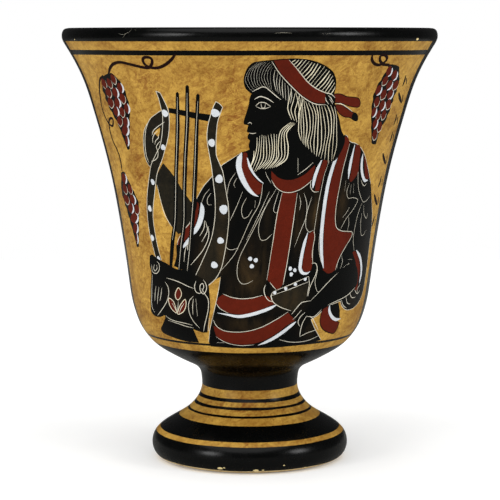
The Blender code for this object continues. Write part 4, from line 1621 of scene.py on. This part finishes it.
# The painted outside takes the place of the turned one
across, down = flat[:, 0] / unrolled, flat[:, 1]
radius = radiusAt(down)
height = np.interp(down, outsideAlong, outside[:, 1])
positions = np.column_stack([radius * np.sin(across), -radius * np.cos(across), height])
mapAt = np.column_stack([mapAcross(across), mapDown(down)])
triangles = triangles[:, ::-1]
paintedMesh = meshFrom("painted", positions, triangles.tolist(), mapAt[triangles], coat)
# Per-spot strengths: thin black with a painted brown reflection on the glaze below the panel, and stains
# on the ochre
for name, places in (("thinnessAndReflection", thinAndReflectedPlaces), ("staining", stainPlaces)):
    wearAndReflectionLayer = paintedMesh.attributes.new(name, "FLOAT", "POINT")
    wearAndReflectionLayer.data.foreach_set("value", wearAndReflectionAt(places))

shape = bmesh.new()
shape.from_mesh(hollowed)
plain = [face for face in shape.faces if face.material_index == paints.index(placeholder)]
bmesh.ops.delete(shape, geom=plain, context="FACES")
below = len(shape.faces)
shape.from_mesh(paintedMesh)
painted = shape.faces.layers.int.new("painted")
shape.faces.ensure_lookup_table()
for face in shape.faces[below:]:
    face[painted] = 1
weldReach = 0.003
bmesh.ops.remove_doubles(shape, verts=shape.verts, dist=weldReach * mm)
openEdges = sum(1 for edge in shape.edges if len(edge.link_faces) != 2)
cupMesh = bpy.data.meshes.new("paintedCup")
for paint in paints:
    cupMesh.materials.append(materials[paint])
shape.to_mesh(cupMesh)
shape.free()
print("faces:", len(cupMesh.polygons), "open edges:", openEdges)

# Shading that follows the turned outline, whatever way the paint has cut its surface
slopes = np.gradient(outside, axis=0)
slopes /= np.linalg.norm(slopes, axis=1)[:, None]
corners = np.empty(len(cupMesh.loops), int)
cupMesh.loops.foreach_get("vertex_index", corners)
spotsAt = np.empty(len(cupMesh.vertices) * 3)
cupMesh.vertices.foreach_get("co", spotsAt)
x, y, z = spotsAt.reshape(-1, 3)[corners].T / mm
down = downAt(z)
outOf = -np.interp(down, outsideAlong, slopes[:, 1])
upOf = np.interp(down, outsideAlong, slopes[:, 0])
reach = np.maximum(np.hypot(x, y), 1e-6)
normals = np.column_stack([outOf * x / reach, outOf * y / reach, upOf])
onOutside = np.zeros(len(cupMesh.polygons), int)
cupMesh.attributes["painted"].data.foreach_get("value", onOutside)
sidesOf = np.empty(len(cupMesh.polygons), int)
cupMesh.polygons.foreach_get("loop_total", sidesOf)
normals[np.repeat(onOutside, sidesOf) == 0] = 0
cupMesh.attributes.remove(cupMesh.attributes["painted"])
sharpAngle = 40
cupMesh.set_sharp_from_angle(angle=radians(sharpAngle))
cupMesh.normals_split_custom_set(normals.tolist())

cup = inScene("paintedCup", cupMesh)
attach(cup, "root")
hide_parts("cup")

# The floor, the light and the camera, with lengths in metres. The glaze mirrors a dimmer room and
# floor than the camera sees, and the camera sees the floor glow a little, which keeps the shadow faint.
studio = {
    "floor": ((252, 252, 251), (248, 248, 247)), "reach": 0.5, "mirrored": (140, 140, 137),
    "glow": 0.16, "dim": 0.62, "reflected": 0.05,
    "sun": {"power": 1.5, "spread": 75, "from": (-0.08, -0.38, 1.0)},
    "left": {"power": 2.9, "from": (-0.8, -0.75, 0.3)},
    "right": {"power": 2.5, "from": (0.9, -0.5, 0.4)},
    "lampSize": 0.35, "aim": (0, 0, 0.07),
}


def gray(value):
    return (value, value, value, 1)


def paleFloor():
    paper = bpy.data.materials.new("paleFloor")
    paper.use_nodes = True
    tree = paper.node_tree
    shader = tree.nodes["Principled BSDF"]
    path = put(tree, "LightPath").outputs
    grain = lifted(tree, noise(tree, 9, 4, 0.6), 0.3, 0.7)
    light, deep = studio["floor"]
    seen = blend(tree, grain, tint(*light), tint(*deep))
    seen = blend(tree, path["Is Glossy Ray"], seen, tint(*studio["mirrored"]))
    glow = blend(tree, path["Is Camera Ray"], gray(0), gray(studio["glow"]))
    rough = lifted(tree, noise(tree, 60, 3, 0.5), 0.3, 0.7, 0.75, 0.85)
    tree.links.new(seen, shader.inputs["Base Color"])
    tree.links.new(glow, shader.inputs["Emission Color"])
    tree.links.new(rough, shader.inputs["Roughness"])
    shader.inputs["Emission Strength"].default_value = 1
    return paper


def softRoom():
    world = bpy.data.worlds.new("studio")
    world.use_nodes = True
    tree = world.node_tree
    path = put(tree, "LightPath").outputs
    dim = blend(tree, path["Is Glossy Ray"], gray(studio["dim"]), gray(studio["reflected"]))
    seen = blend(tree, path["Is Camera Ray"], dim, gray(1))
    tree.links.new(seen, tree.nodes["Background"].inputs["Color"])
    return world


def addLamp(name, kind, aim, **settings):
    lamp = bpy.data.lights.new(name, kind)
    lamp.energy = studio[name]["power"]
    for key, value in settings.items():
        setattr(lamp, key, value)
    holder = inScene(name, lamp)
    holder.location = studio[name]["from"]
    facing = Vector(aim) - Vector(studio[name]["from"])
    holder.rotation_euler = facing.to_track_quat("-Z", "Y").to_euler()


floorMesh = bpy.data.meshes.new("floor")
reach = studio["reach"]
floorCorners = [(-reach, -reach, 0), (reach, -reach, 0), (reach, reach, 0), (-reach, reach, 0)]
floorMesh.from_pydata(floorCorners, [], [(0, 1, 2, 3)])
floorMesh.materials.append(paleFloor())
floor = inScene("floor", floorMesh)

bpy.context.scene.world = softRoom()
addLamp("sun", "SUN", (0, 0, 0), angle=radians(studio["sun"]["spread"]))
for name in ("left", "right"):
    addLamp(name, "AREA", studio["aim"], shape="DISK", size=studio["lampSize"])

sensorWidth = 36
lens = bpy.data.cameras.new("camera")
lens.sensor_width = sensorWidth
lens.lens = view["focal"] / sheet * sensorWidth
lens.clip_start = 0.01
camera = inScene("camera", lens)
camera.location = (view["across"] * mm, -view["back"] * mm, view["height"] * mm)
camera.rotation_euler = (radians(90 - view["pitch"]), 0, 0)
bpy.context.scene.camera = camera
bpy.context.scene.view_settings.view_transform = "Standard"
print("studio: floor, room, lamps and camera")
